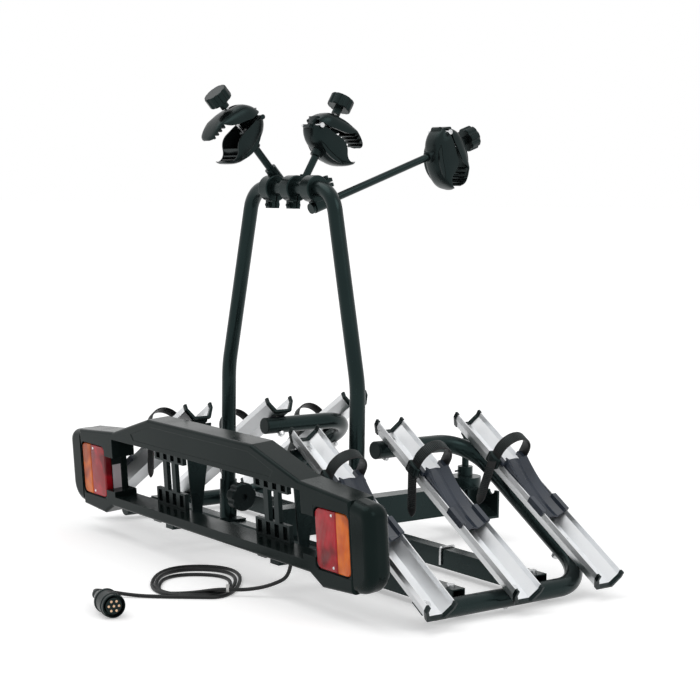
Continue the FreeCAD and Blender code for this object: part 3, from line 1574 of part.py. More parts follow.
lead_path, lead_radii = soft_path(lead_spots())
tail_path, tail_radii = soft_path(tail_spots())
wound_path, wound_radii = hank_path()
lead = round_sweep(lead_path, cable_radius)
tail = round_sweep(tail_path, cable_radius)
export(feature("cable", Part.makeCompound([lead, tail])), "cable")
export(feature("cable_hank", round_sweep(wound_path, cable_radius)), "cable_hank")
print("bend radii of the lead", ["%.1f" % radius for radius in lead_radii])
print("bend radii of the tail", ["%.1f" % radius for radius in tail_radii])
print("bend radii of the hank", ["%.1f" % radius for radius in wound_radii])
print("least gap between the hank's strands %.2f" % self_gap(wound_path, cable_radius * 2))
for path in (lead_path, tail_path, wound_path):
    print("length %.0f, volume by section %.0f" % (path.Length, path.Length * math.pi * cable_radius ** 2))


def cable_tie():
    half, thick = float(S.tie_width) / 2, float(S.tie_thickness)
    inner = cable_radius + float(S.running_gap)
    ring = rod(tie_spot - hank_back * half, tie_spot + hank_back * half, inner + thick)
    head = Part.makeBox(6, half * 2 + 1, 5, Vector(-3, -half - 0.5, inner + thick - 1))
    head.Placement = Placement(tie_spot, Rotation(UP, float(S.hank_turn) - 90))
    bore = rod(tie_spot - hank_back * 10, tie_spot + hank_back * 10, inner)
    return ring.fuse(head).cut(bore)


export(feature("cable_tie", cable_tie()), "cable_tie")


def plug():
    """Clamping nut, cone and shell along Z, with a recessed contact face."""
    nut_end = float(S.plug_nut_length)
    cone_end = nut_end + float(S.plug_cone_length)
    face = cone_end + float(S.plug_shell_length)
    radius, nut_radius = float(S.plug_radius), float(S.plug_nut_radius)
    shell = Part.makeCylinder(radius, face - cone_end, UP * cone_end)
    rim = Part.makeCylinder(radius, 6, UP * (face - 16))
    shell = shell.cut(Part.makeCylinder(radius + 1, face - cone_end - 22, UP * (cone_end + 6)).cut(
        Part.makeCylinder(radius - 1.5, face, UP * 0)))
    cone = Part.makeCone(nut_radius + 1, radius - 2, cone_end - nut_end, UP * nut_end)
    nut = Part.makeCylinder(nut_radius, nut_end + 1)
    recess = Part.makeCylinder(radius - 3, float(S.plug_recess) + 1, UP * (face - float(S.plug_recess)))
    core = Part.makeCylinder(radius - 7, float(S.plug_recess) - 2, UP * (face - float(S.plug_recess)))
    bore = Part.makeCylinder(cable_radius + float(S.running_gap), 12 + float(S.seat_gap), ORIGIN)
    return shell.fuse([rim, cone, nut]).cut([recess.cut(core), bore]).removeSplitter()


export(feature("plug", plug(), PLUG_FRAME), "plug")

# Rebuild, test every object and write one file for each sub-part
doc.recompute()
for item in doc.Objects:
    if "Invalid" in item.State or "Error" in item.State:
        raise RuntimeError("%s failed to build" % item.Name)
os.makedirs("parts", exist_ok=True)
for item in parts:
    if item.Shape.isNull() or not item.Shape.isValid():
        raise RuntimeError("%s has no valid shape" % item.Label)
    item.Shape.exportStep("parts/%s.step" % item.Label)
print("%d sub-parts written" % len(parts))
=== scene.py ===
# %% [markdown]
# A rack for three bicycles that hangs on a car's tow ball. Its steel, channels and joints come
# ready from the CAD pack, in metres, and stay where they are. This lesson dresses them: it gives
# each node a finish and replaces the soft or plain solids with fuller pieces.

# %% Load the frame
import bpy
import bmesh
import json
import math
from mathutils import Matrix, Vector


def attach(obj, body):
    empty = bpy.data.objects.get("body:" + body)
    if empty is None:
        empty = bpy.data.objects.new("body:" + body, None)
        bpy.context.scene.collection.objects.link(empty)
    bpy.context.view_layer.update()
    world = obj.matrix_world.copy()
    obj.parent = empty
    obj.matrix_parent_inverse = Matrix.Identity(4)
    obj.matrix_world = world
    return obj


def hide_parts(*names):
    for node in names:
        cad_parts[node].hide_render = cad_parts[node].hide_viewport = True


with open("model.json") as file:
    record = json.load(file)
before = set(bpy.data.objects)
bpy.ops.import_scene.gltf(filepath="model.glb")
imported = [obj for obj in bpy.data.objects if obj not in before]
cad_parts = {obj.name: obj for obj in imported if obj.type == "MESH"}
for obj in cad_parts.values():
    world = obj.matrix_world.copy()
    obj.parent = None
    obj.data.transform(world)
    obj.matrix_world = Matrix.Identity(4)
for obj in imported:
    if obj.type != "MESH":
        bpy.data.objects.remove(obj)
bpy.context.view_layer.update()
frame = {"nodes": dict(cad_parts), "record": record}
NODES = frame["nodes"]

# %% [markdown]
# The camera stands at the photograph's angle, low and to the right of the lamp board, with a long
# lens. Its place was solved from points that show in the picture, so it is given directly as
# three axes and an eye point.

# %% Camera
EYE = Vector((2.6312, -1.9623, 0.7388))
LOOK_RIGHT = Vector((0.59921, 0.80051, 0.01338))
LOOK_UP = Vector((-0.08527, 0.04719, 0.99528))
LOOK_BACK = Vector((0.79606, -0.59750, 0.09654))

camera_data = bpy.data.cameras.new("camera")
camera_data.sensor_width = 36.0
camera_data.lens = 82.8
camera_data.clip_end = 100.0
camera = bpy.data.objects.new("camera", camera_data)
turn = Matrix((LOOK_RIGHT, LOOK_UP, LOOK_BACK)).transposed().to_4x4()
camera.matrix_world = Matrix.Translation(EYE) @ turn
bpy.context.collection.objects.link(camera)
bpy.context.scene.camera = camera
bpy.context.scene.view_settings.view_transform = "Standard"
print("camera at", tuple(round(value, 3) for value in EYE))

# %% [markdown]
# Every size below is written in millimetres, as on the drawing, and turned into metres once.
# The lamp board leans back a little about a line in its face, and the wheel channels slope down
# to both sides. A helper for each gives a place in that piece's own directions.

# %% Places on the board and on the channels
BOARD_LEAN = math.radians(4.5)
BOARD_FACE_Y, BOARD_LINE_Z = -344, 110
RAIL_TILT = math.radians(31.9)
RAIL_TOP_X, RAIL_TOP_Z = 190, 304
RAIL_ROWS = {1: -234.5, 2: -32.5, 3: 169.5}


def mm(x, y, z):
    return Vector((x, y, z)) / 1000


def on_board(x, back, z):
    """A place on the board: x across, back from its face, and z as if the board stood upright."""
    low = z - BOARD_LINE_Z
    return mm(x, BOARD_FACE_Y + back * math.cos(BOARD_LEAN) - low * math.sin(BOARD_LEAN),
              BOARD_LINE_Z + back * math.sin(BOARD_LEAN) + low * math.cos(BOARD_LEAN))


def on_rail(side, row, along, y, up):
    """A place on a wheel channel: along its slope, y across it, and up from its lips."""
    x = RAIL_TOP_X + along * math.cos(RAIL_TILT) + up * math.sin(RAIL_TILT)
    z = RAIL_TOP_Z - along * math.sin(RAIL_TILT) + up * math.cos(RAIL_TILT)
    return mm(side * x, RAIL_ROWS[row] + y, z)


print("board face at the lamps", tuple(round(v, 3) for v in on_board(430, 0, 140)))

# %% [markdown]
# The lighting cable is a fixed length of something flexible. It leaves the gland under the board,
# goes to a tie, lies in three loose turns on the floor and ends in its plug. A NURBS spline with
# the route's own points bends as a real cable does, without straight runs or sharp corners.

# %% Cable
HANK_ORIGIN = Vector((159, -464, 0))
HANK_ALONG, HANK_ACROSS = Vector((0.6, 0.8, 0)), Vector((-0.8, 0.6, 0))
HANK_NEAR, HANK_PITCH, HANK_HALF = 24.6, 8.2, 66
FLOOR_Z, OVER_Z = 3.6, 12.3


def hank_spot(along, across, z):
    """A place in the hank's own directions, which lie on the floor."""
    spot = HANK_ORIGIN + HANK_ALONG * along + HANK_ACROSS * across
    return mm(spot.x, spot.y, z)


def cable_route():
    """Down from the gland, over the hank's near side, three turns round, and out to the plug."""
    spots = [on_board(268, 26, 90), on_board(268, 26, 44), mm(231, -334, 22)]
    spots += [hank_spot(along, HANK_NEAR, OVER_Z) for along in (105, 67, 48)]
    spots += [hank_spot(-10, HANK_NEAR, FLOOR_Z)]
    for turn_number, depth in enumerate((150, 200, 235)):
        half = HANK_HALF + HANK_PITCH * turn_number
        near = HANK_NEAR - HANK_PITCH * turn_number
        spots += [hank_spot(-half, near, FLOOR_Z), hank_spot(-half, near + depth, FLOOR_Z)]
        spots += [hank_spot(half, near + depth, FLOOR_Z)]
        spots += [hank_spot(half, near - HANK_PITCH, FLOOR_Z)]
    spots += [hank_spot(-10, 0, FLOOR_Z), hank_spot(-52, 0, FLOOR_Z)]
    spots += [mm(97, -541, 3.9), mm(61, -581, 10), mm(77.5, -622.6, 22.5)]
    return spots + [mm(122.8, -630.4, 22.5)]


def smooth_curve(name, spots, radius):
    """A round cord through NURBS points, with closed ends."""
    curve = bpy.data.curves.new(name, "CURVE")
    curve.dimensions = "3D"
    spline = curve.splines.new("NURBS")
    spline.points.add(len(spots) - 1)
    for point, spot in zip(spline.points, spots):
        point.co = (*spot, 1.0)
    spline.order_u = 3
    spline.use_endpoint_u = True
    spline.resolution_u = 10
    curve.bevel_depth = radius
    curve.bevel_resolution = 5
    curve.use_fill_caps = True
    obj = bpy.data.objects.new(name, curve)
    bpy.context.collection.objects.link(obj)
    return obj


cable = smooth_curve("lighting_cable", cable_route(), 0.0035)
print("cable made from", len(cable_route()), "points")

# %% [markdown]
# Finishes. An effect that several materials share is a shader node group, built once: worn edges,
# the fine orange-peel of powder coat or moulded grain, and the streaks of drawn aluminium. The
# groups give only masks, values and normals; each material keeps its own Principled BSDF.

# %% Building blocks for node groups
def new_group(name, inputs, outputs):
    tree = bpy.data.node_groups.new(name, "ShaderNodeTree")
    for label, kind, value in inputs:
        socket = tree.interface.new_socket(name=label, in_out="INPUT", socket_type=kind)
        socket.default_value = value
    for label, kind in outputs:
        tree.interface.new_socket(name=label, in_out="OUTPUT", socket_type=kind)
    return tree, tree.nodes.new("NodeGroupInput"), tree.nodes.new("NodeGroupOutput")


def put(tree, kind, **sockets):
    """Add a node; a socket is given a value or the socket that feeds it."""
    node = tree.nodes.new(kind)
    for label, value in sockets.items():
        connect(tree, node, label.replace("_", " "), value)
    return node


def connect(tree, node, label, value):
    socket = node.inputs[int(label[3:])] if label.startswith("in ") else node.inputs[label]
    if isinstance(value, bpy.types.NodeSocket):
        tree.links.new(value, socket)
    else:
        socket.default_value = value


def sums(tree, operation, first, second=0.0):
    """One math operation on two values."""
    node = put(tree, "ShaderNodeMath", in_0=first, in_1=second)
    node.operation = operation
    return node.outputs[0]


def spread(tree, value, low, high, out_low=0.0, out_high=1.0):
    """Stretch the part of a value between low and high over the whole output range."""
    node = put(tree, "ShaderNodeMapRange", Value=value, From_Min=low, From_Max=high,
               To_Min=out_low, To_Max=out_high)
    node.interpolation_type = "SMOOTHSTEP"
    return node.outputs["Result"]


def blend_colours(tree, mask, first, second):
    node = tree.nodes.new("ShaderNodeMix")
    node.data_type = "RGBA"
    for index, value in ((0, mask), (6, first), (7, second)):
        connect(tree, node, "in %d" % index, value)
    return node.outputs[2]


print("helpers ready")

# %% [markdown]
# The edges are never quite sharp, and where hands and bicycles rub them the finish goes pale; on
# the board that pale edge is also a painted highlight. A bevelled normal rounds them for the light.
# Where it leaves the flat normal there is an edge, and cloudy noise breaks the pale line into
# patches. The other two groups are the small height of the surface and the lines of drawn metal.

# %% Worn and highlit edges, grain and streaks
def make_edge_wear_and_highlight():
    """A mask of rubbed edges, which on the board also paints a highlight, and a normal that rounds
    them.
    """
    tree, given, result = new_group("worn and highlit edges", [
        ("Round", "NodeSocketFloat", 0.0008), ("Amount", "NodeSocketFloat", 0.5),
        ("Patch Scale", "NodeSocketFloat", 60.0)],
        [("Mask", "NodeSocketFloat"), ("Normal", "NodeSocketVector")])
    place = tree.nodes.new("ShaderNodeTexCoord")
    rounded = put(tree, "ShaderNodeBevel", Radius=given.outputs["Round"])
    rounded.samples = 4
    flat = tree.nodes.new("ShaderNodeNewGeometry")
    match = put(tree, "ShaderNodeVectorMath", in_0=rounded.outputs[0], in_1=flat.outputs["Normal"])
    match.operation = "DOT_PRODUCT"
    edge = sums(tree, "SUBTRACT", 1.0, match.outputs["Value"])
    patches = put(tree, "ShaderNodeTexNoise", Vector=place.outputs["Object"],
                  Scale=given.outputs["Patch Scale"], Detail=3.0)
    rubbed_and_lit = spread(tree, patches.outputs[0], 0.45, 0.7)
    strong = sums(tree, "MULTIPLY", spread(tree, edge, 0.01, 0.15), rubbed_and_lit)
    tree.links.new(sums(tree, "MULTIPLY", strong, given.outputs["Amount"]), result.inputs["Mask"])
    tree.links.new(rounded.outputs[0], result.inputs["Normal"])
    return tree


def make_fine_grain():
    """Height of orange peel or moulded grain, and a slow drift for colour and gloss."""
    tree, given, result = new_group("fine grain", [
        ("Scale", "NodeSocketFloat", 700.0), ("Drift Scale", "NodeSocketFloat", 9.0)],
        [("Height", "NodeSocketFloat"), ("Drift", "NodeSocketFloat")])
    place = tree.nodes.new("ShaderNodeTexCoord")
    ranges = (("Height", "Scale", 0.3, 0.7), ("Drift", "Drift Scale", 0.35, 0.65))
    for label, scale, low, high in ranges:
        texture = put(tree, "ShaderNodeTexNoise", Vector=place.outputs["Object"],
                      Scale=given.outputs[scale], Detail=2.0, Roughness=0.5)
        tree.links.new(spread(tree, texture.outputs[0], low, high), result.inputs[label])
    return tree


def make_drawn_streaks():
    """Fine lines along the drawing direction, from noise squeezed across it."""
    tree, given, result = new_group("drawn streaks", [
        ("Lines", "NodeSocketVector", (30.0, 900.0, 900.0)),
        ("Turn", "NodeSocketVector", (0.0, 0.0, 0.0))],
        [("Streak", "NodeSocketFloat")])
    place = tree.nodes.new("ShaderNodeTexCoord")
    mapping = put(tree, "ShaderNodeMapping", Vector=place.outputs["Object"],
                  Rotation=given.outputs["Turn"])
    scaled = put(tree, "ShaderNodeVectorMath", in_0=mapping.outputs[0], in_1=given.outputs["Lines"])
    scaled.operation = "MULTIPLY"
    texture = put(tree, "ShaderNodeTexNoise", Vector=scaled.outputs[0], Scale=1.0, Detail=2.0)
    tree.links.new(spread(tree, texture.outputs[0], 0.25, 0.75), result.inputs["Streak"])
    return tree


EDGE_WEAR_AND_HIGHLIGHT, FINE_GRAIN, DRAWN_STREAKS = make_edge_wear_and_highlight(), make_fine_grain(), make_drawn_streaks()
print("groups:", [group.name for group in bpy.data.node_groups])

# %% [markdown]
# A coated or moulded surface is its colour, a slightly different colour where the coat is thin,
# a little drift in gloss, a fine height and a paler rubbed line on its edges, which on the board is
# also a painted highlight. One function sets these up from plain values, because the real parts
# differ in colour and grain and not in kind.

# %% Coated and moulded finishes
def use_group(tree, group, **sockets):
    node = tree.nodes.new("ShaderNodeGroup")
    node.node_tree = group
    for label, value in sockets.items():
        connect(tree, node, label.replace("_", " "), value)
    return node


def new_material(name, **constants):
    material = bpy.data.materials.new(name)
    material.use_nodes = True
    tree = material.node_tree
    shader = tree.nodes["Principled BSDF"]
    for label, value in constants.items():
        shader.inputs[label.replace("_", " ")].default_value = value
    return material, tree, shader


def coated(name, colour, drifted, rubbed_and_lit, gloss=(0.3, 0.4), grain=700.0, depth=0.00004,
           edge=0.0008, wear_and_highlight=0.5, **constants):
    material, tree, shader = new_material(name, **constants)
    fine = use_group(tree, FINE_GRAIN, Scale=grain)
    worn_and_lit = use_group(tree, EDGE_WEAR_AND_HIGHLIGHT, Round=edge, Amount=wear_and_highlight)
    body = blend_colours(tree, fine.outputs["Drift"], (*colour, 1), (*drifted, 1))
    # Paler edge colour: rubbed wear, and on the board also a painted highlight along the edges.
    colour_out = blend_colours(tree, worn_and_lit.outputs["Mask"], body, (*rubbed_and_lit, 1))
    tree.links.new(colour_out, shader.inputs["Base Color"])
    roughness = spread(tree, fine.outputs["Drift"], 0.0, 1.0, *gloss)
    tree.links.new(roughness, shader.inputs["Roughness"])
    bump = put(tree, "ShaderNodeBump", Height=fine.outputs["Height"], Normal=worn_and_lit.outputs["Normal"],
               Distance=depth, Strength=0.6)
    tree.links.new(bump.outputs[0], shader.inputs["Normal"])
    return material


TEAL_SHEEN = (0.62, 1.0, 0.98, 1.0)
FINISH = {
    "steel_black": coated("satin black powder coat", (0.0040, 0.0066, 0.0068),
                          (0.0060, 0.0096, 0.0098), (0.040, 0.048, 0.048), gloss=(0.20, 0.28),
                          grain=520.0, Specular_IOR_Level=0.26, Specular_Tint=TEAL_SHEEN),
    "plastic_black": coated("black moulded nylon", (0.0045, 0.0056, 0.0060),
                            (0.0080, 0.0096, 0.0100), (0.040, 0.044, 0.044), gloss=(0.26, 0.36),
                            grain=900.0, wear_and_highlight=0.3, Specular_IOR_Level=0.22,
                            Specular_Tint=TEAL_SHEEN),
    # The board's paler, wider edge line is partly wear and partly a painted highlight.
    "board_plastic": coated("charcoal board moulding", (0.0040, 0.0068, 0.0064),
                            (0.0062, 0.0096, 0.0090), (0.070, 0.084, 0.082), gloss=(0.17, 0.25),
                            grain=800.0, depth=0.00001, edge=0.0015, wear_and_highlight=0.35,
                            Specular_IOR_Level=0.10, Specular_Tint=TEAL_SHEEN),
    "cradle_plastic": coated("blue-grey cradle moulding", (0.022, 0.030, 0.044),
                             (0.034, 0.044, 0.062), (0.14, 0.16, 0.20), gloss=(0.24, 0.34),
                             grain=800.0, wear_and_highlight=0.6),
    "strap_plastic": coated("strap elastomer", (0.0060, 0.0062, 0.0066), (0.0120, 0.0118, 0.0118),
                            (0.040, 0.038, 0.038), gloss=(0.36, 0.48), grain=1200.0, wear_and_highlight=0.4,
                            Specular_IOR_Level=0.3),
    "cable_black": coated("cable sheath", (0.0060, 0.0068, 0.0072), (0.0100, 0.0112, 0.0118),
                          (0.03, 0.03, 0.03), gloss=(0.34, 0.46), grain=600.0, wear_and_highlight=0.1,
                          Specular_IOR_Level=0.3),
    "tie_white": coated("white tie", (0.68, 0.68, 0.67), (0.74, 0.74, 0.73),
                        (0.80, 0.80, 0.80), gloss=(0.35, 0.45), grain=900.0, wear_and_highlight=0.1),
    "clear_window": coated("clear light window", (0.58, 0.50, 0.53), (0.70, 0.63, 0.66),
                           (0.85, 0.80, 0.82), gloss=(0.10, 0.18), grain=300.0, wear_and_highlight=0.2),
}
print(len(FINISH), "coated finishes")

# %% [markdown]
# The channels are drawn aluminium and the screws are zinc-plated steel. Both are metals, so their
# colour is what they reflect, and the detail is in the roughness: long streaks on the channels,
# small cloudy patches on the zinc.

# %% Metal finishes
def drawn_aluminium():
    material, tree, shader = new_material("drawn aluminium", Metallic=1.0)
    streak = use_group(tree, DRAWN_STREAKS).outputs["Streak"]
    fine = use_group(tree, FINE_GRAIN, Scale=300.0, Drift_Scale=12.0)
    worn_and_lit = use_group(tree, EDGE_WEAR_AND_HIGHLIGHT, Round=0.0005, Amount=0.5)
    colour = blend_colours(tree, streak, (0.76, 0.775, 0.79, 1), (0.80, 0.81, 0.82, 1))
    dull = blend_colours(tree, fine.outputs["Drift"], colour, (0.78, 0.79, 0.80, 1))
    tree.links.new(dull, shader.inputs["Base Color"])
    tree.links.new(spread(tree, streak, 0.0, 1.0, 0.36, 0.44), shader.inputs["Roughness"])
    bump = put(tree, "ShaderNodeBump", Height=streak, Normal=worn_and_lit.outputs["Normal"],
               Distance=0.00001, Strength=0.2)
    tree.links.new(bump.outputs[0], shader.inputs["Normal"])
    return material


def zinc_plate(name, first, second, gloss):
    material, tree, shader = new_material(name, Metallic=1.0)
    fine = use_group(tree, FINE_GRAIN, Scale=260.0, Drift_Scale=90.0)
    worn_and_lit = use_group(tree, EDGE_WEAR_AND_HIGHLIGHT, Round=0.0004, Amount=0.4)
    body = blend_colours(tree, fine.outputs["Drift"], (*first, 1), (*second, 1))
    tree.links.new(body, shader.inputs["Base Color"])
    roughness = spread(tree, fine.outputs["Height"], 0.0, 1.0, *gloss)
    tree.links.new(roughness, shader.inputs["Roughness"])
    tree.links.new(worn_and_lit.outputs["Normal"], shader.inputs["Normal"])
    return material


FINISH["aluminium"] = drawn_aluminium()
FINISH["plated_steel"] = zinc_plate("zinc plate", (0.62, 0.63, 0.64), (0.74, 0.745, 0.75),
                                    (0.2, 0.34))
FINISH["brass"] = zinc_plate("contact brass", (0.70, 0.46, 0.30), (0.80, 0.58, 0.40),
                             (0.25, 0.36))
print("metals added")

# %% [markdown]
# The lamp lenses are coloured acrylic over a reflector and bulbs. Light that passes in and out
# through the colour makes them glow a deep even red and amber, with painted shade in a darker patch
# where a bulb and its socket stand behind. That glow and that shade are written as colour, so that
# they hold under any light, and fine flutes in a smooth surface catch the highlights.

# %% Lens finishes
def lens_finish(name, deep, bright, shade, pitch=0.004):
    """Flutes run up the lens; the colour is a cloudy painted glow, with painted shade in darker
    patches where bulbs stand.
    """
    material, tree, shader = new_material(name, Roughness=0.18, Specular_IOR_Level=0.35)
    place = tree.nodes.new("ShaderNodeTexCoord")
    cloud = put(tree, "ShaderNodeTexNoise", Vector=place.outputs["Object"], Scale=30.0, Detail=1.5)
    body = blend_colours(tree, spread(tree, cloud.outputs[0], 0.35, 0.65), (*deep, 1), (*bright, 1))
    # Painted shade: darker patches for the bulbs and sockets behind the lens.
    bulb_shade_noise = put(tree, "ShaderNodeTexNoise", Vector=place.outputs["Object"], Scale=19.0, Detail=1.0)
    bulb_shade_mask = spread(tree, bulb_shade_noise.outputs[0], 0.52, 0.68, 0.0, 0.75)
    tree.links.new(blend_colours(tree, bulb_shade_mask, body, (*shade, 1)), shader.inputs["Base Color"])
    split = put(tree, "ShaderNodeSeparateXYZ", Vector=place.outputs["Object"])
    wave = sums(tree, "SINE", sums(tree, "MULTIPLY", split.outputs["X"], 2 * math.pi / pitch))
    bump = put(tree, "ShaderNodeBump", Height=wave, Distance=0.0003, Strength=0.5)
    tree.links.new(bump.outputs[0], shader.inputs["Normal"])
    return material


FINISH["red_lens"] = lens_finish("red lens acrylic", (0.34, 0.002, 0.008), (0.52, 0.006, 0.018),
                                 (0.09, 0.001, 0.004))
FINISH["amber_lens"] = lens_finish("amber lens acrylic", (0.66, 0.10, 0.003), (0.84, 0.18, 0.006),
                                   (0.30, 0.03, 0.002))
print("lens finishes added")

# %% [markdown]
# Each CAD node gets the finish that its record names. Its shape and place stay as they are.

# %% Put the finishes on the nodes
SLOT_OF = {part["node"]: part["material_slot"] for part in frame["record"]["subparts"]}
for name, obj in NODES.items():
    obj.data.materials.clear()
    obj.data.materials.append(FINISH[SLOT_OF[name]])
cable.data.materials.append(FINISH["cable_black"])
print("finishes on", len(NODES), "nodes")

# %% [markdown]
# Pieces that flex or are moulded round are built again here, each inside its CAD node's box. A
# skin is drawn through rings of points, and a turned piece is a profile spun round an axis.

# %% Skins and turned shapes
SHARP_ANGLE = math.radians(38)


class Skin:
    """A mesh that grows by closed skins; places are in millimetres in the given frame."""

    def __init__(self):
        self.mesh = bmesh.new()

    def loft(self, rings, slot=0, endless=False):
        """Join rings of equally many points; an endless skin joins its last ring to its first."""
        loops = [[self.mesh.verts.new(Vector(spot) / 1000) for spot in ring] for ring in rings]
        faces = [] if endless else [self.mesh.faces.new(loops[0]), self.mesh.faces.new(loops[-1])]
        for first, second in zip(loops, loops[1:] + loops[:1] if endless else loops[1:]):
            for index, vert in enumerate(first):
                after = (index + 1) % len(first)
                corners = (vert, first[after], second[after], second[index])
                faces.append(self.mesh.faces.new(corners))
        for face in faces:
            face.material_index = slot
            face.smooth = True

    def lathe(self, place, profile, slot=0, segments=28, endless=False):
        """Spin a profile of (radius, height) pairs round the Z axis of a placement."""
        angles = [2 * math.pi * step / segments for step in range(segments)]
        rings = [[place @ Vector((radius * math.cos(a), radius * math.sin(a), height))
                  for a in angles] for radius, height in profile]
        self.loft(rings, slot, endless)

    def add_mesh(self, mesh):
        self.mesh.from_mesh(mesh)

    def made(self, name, *finishes):
        """Turn the skins into an object; a face's slot picks one of the finishes."""
        bmesh.ops.recalc_face_normals(self.mesh, faces=self.mesh.faces)
        mesh = bpy.data.meshes.new(name)
        self.mesh.to_mesh(mesh)
        self.mesh.free()
        for finish in finishes:
            mesh.materials.append(finish)
        mesh.set_sharp_from_angle(angle=SHARP_ANGLE)
        obj = bpy.data.objects.new(name, mesh)
        bpy.context.collection.objects.link(obj)
        return obj


def rounded_outline(low_a, high_a, low_b, high_b, radii, steps=6):
    """A rectangle's outline with its own radius at each corner, as (a, b) pairs."""
    corners = [(high_a, high_b, 0), (low_a, high_b, 90), (low_a, low_b, 180), (high_a, low_b, 270)]
    outline = []
    for (a, b, start), radius in zip(corners, radii):
        centre_a = a - radius if a == high_a else a + radius
        centre_b = b - radius if b == high_b else b + radius
        for step in range(steps + 1):
            angle = math.radians(start + 90 * step / steps)
            outline.append((centre_a + radius * math.cos(angle),
                            centre_b + radius * math.sin(angle)))
    return outline


print("skin tools ready")

# %% [markdown]
# Rows of small ribs come from Geometry Nodes, because they are one bar that repeats: a bar stands
# on each point of a mesh, and the point carries its turn and size. The bars are made real, so
# that they belong to the piece's own mesh.

# %% Rows of ribs
def make_rib_rows():
    """Bars on points that carry their own turn and size."""
    tree = bpy.data.node_groups.new("rib rows", "GeometryNodeTree")
    tree.interface.new_socket(name="Geometry", in_out="INPUT", socket_type="NodeSocketGeometry")
    tree.interface.new_socket(name="Material", in_out="INPUT", socket_type="NodeSocketMaterial")
    tree.interface.new_socket(name="Geometry", in_out="OUTPUT", socket_type="NodeSocketGeometry")
    given, result = tree.nodes.new("NodeGroupInput"), tree.nodes.new("NodeGroupOutput")
    bar = put(tree, "GeometryNodeMeshCube", Size=(1, 1, 1))
    turn = put(tree, "GeometryNodeInputNamedAttribute", Name="turn")
    size = put(tree, "GeometryNodeInputNamedAttribute", Name="size")
    turn.data_type = size.data_type = "FLOAT_VECTOR"
    spun = put(tree, "FunctionNodeEulerToRotation", Euler=turn.outputs["Attribute"])
    rows = put(tree, "GeometryNodeInstanceOnPoints", Points=given.outputs["Geometry"],
               Instance=bar.outputs["Mesh"], Rotation=spun.outputs[0],
               Scale=size.outputs["Attribute"])
    real = put(tree, "GeometryNodeRealizeInstances", Geometry=rows.outputs[0])
    dressed = put(tree, "GeometryNodeSetMaterial", Geometry=real.outputs[0],
                  Material=given.outputs["Material"])
    tree.links.new(dressed.outputs[0], result.inputs["Geometry"])
    return tree


RIB_ROWS = make_rib_rows()


def rib_mesh(ribs, finish):
    """Ribs are (middle, across, ahead, size) in millimetres; gives one plain mesh."""
    mesh = bpy.data.meshes.new("rib_points")
    mesh.from_pydata([tuple(middle / 1000) for middle, across, ahead, size in ribs], [], [])
    turn = mesh.attributes.new("turn", "FLOAT_VECTOR", "POINT")
    scale = mesh.attributes.new("size", "FLOAT_VECTOR", "POINT")
    for index, (middle, across, ahead, size) in enumerate(ribs):
        axes = Matrix((across, ahead, across.cross(ahead))).transposed()
        turn.data[index].vector = axes.to_euler()
        scale.data[index].vector = Vector(size) / 1000
    obj = bpy.data.objects.new("rib_points", mesh)
    bpy.context.collection.objects.link(obj)
    modifier = obj.modifiers.new("ribs", "NODES")
    modifier.node_group = RIB_ROWS
    socket = next(item for item in RIB_ROWS.interface.items_tree if item.name == "Material")
    modifier[socket.identifier] = finish
    ready = obj.evaluated_get(bpy.context.evaluated_depsgraph_get())
    made = bpy.data.meshes.new_from_object(ready)
    bpy.data.objects.remove(obj)
    return made


print("rib rows ready:", RIB_ROWS.name)

# %% [markdown]
# A wheel strap is one moulded band, arched over its channel as it is kept when no bicycle is on
# the rack. It runs through a ratchet buckle outside the channel, and its loose end hangs down and
# ends in a point. Fine cross ribs for the ratchet cover it. The band is a flat skin along its own
# path, so it bends without twisting. The loose ends of row 3 hang at a slant.

# %% Wheel straps
STRAP_REACH, STRAP_RISE, STRAP_HALF, HALF_THICK = 37.3, 56.0, 12.0, 1.2
ARCH_RADIUS, ARCH_CENTRE = STRAP_REACH - 1.5, STRAP_RISE - STRAP_REACH
ARCH_STEPS, ARCH_RIBS, END_RIBS, END_RIB_STEP = 28, 36, 16, 3.6
LOOSE_END = ((0, 12), (30, 12), (60, 12), (78, 11.6), (84, 9), (89, 5), (91.6, 1.4))
# Half length, low and high edge, and how far out the outer and the inner face lie.
HOUSING = (16.6, -14.0, 9.2, -42.0, -34.5)
LEVER = (10.5, -8.0, 7.0, -43.2, -41.8)


def rail_spot(side, row, along, y, up):
    return on_rail(side, row, along, y, up) * 1000


def band_ring(middle, across, out, half_width, half_thick):
    edge = min(0.9, half_width * 0.8)
    outline = rounded_outline(-half_width, half_width, -half_thick, half_thick, [edge] * 4, steps=2)
    return [middle + across * a + out * b for a, b in outline]


def strap_stations():
    """Places (y, z) along the band's middle with the outward direction at each."""
    stations = [((-ARCH_RADIUS, z), (-1, 0)) for z in (-7.8, -2, 4, 10, 15)]
    for step in range(ARCH_STEPS + 1):
        angle = math.pi * (1 - step / ARCH_STEPS)
        way = (math.cos(angle), math.sin(angle))
        stations.append(((ARCH_RADIUS * way[0], ARCH_CENTRE + ARCH_RADIUS * way[1]), way))
    return stations + [((ARCH_RADIUS, z), (1, 0)) for z in (14, 8, 1.2)]


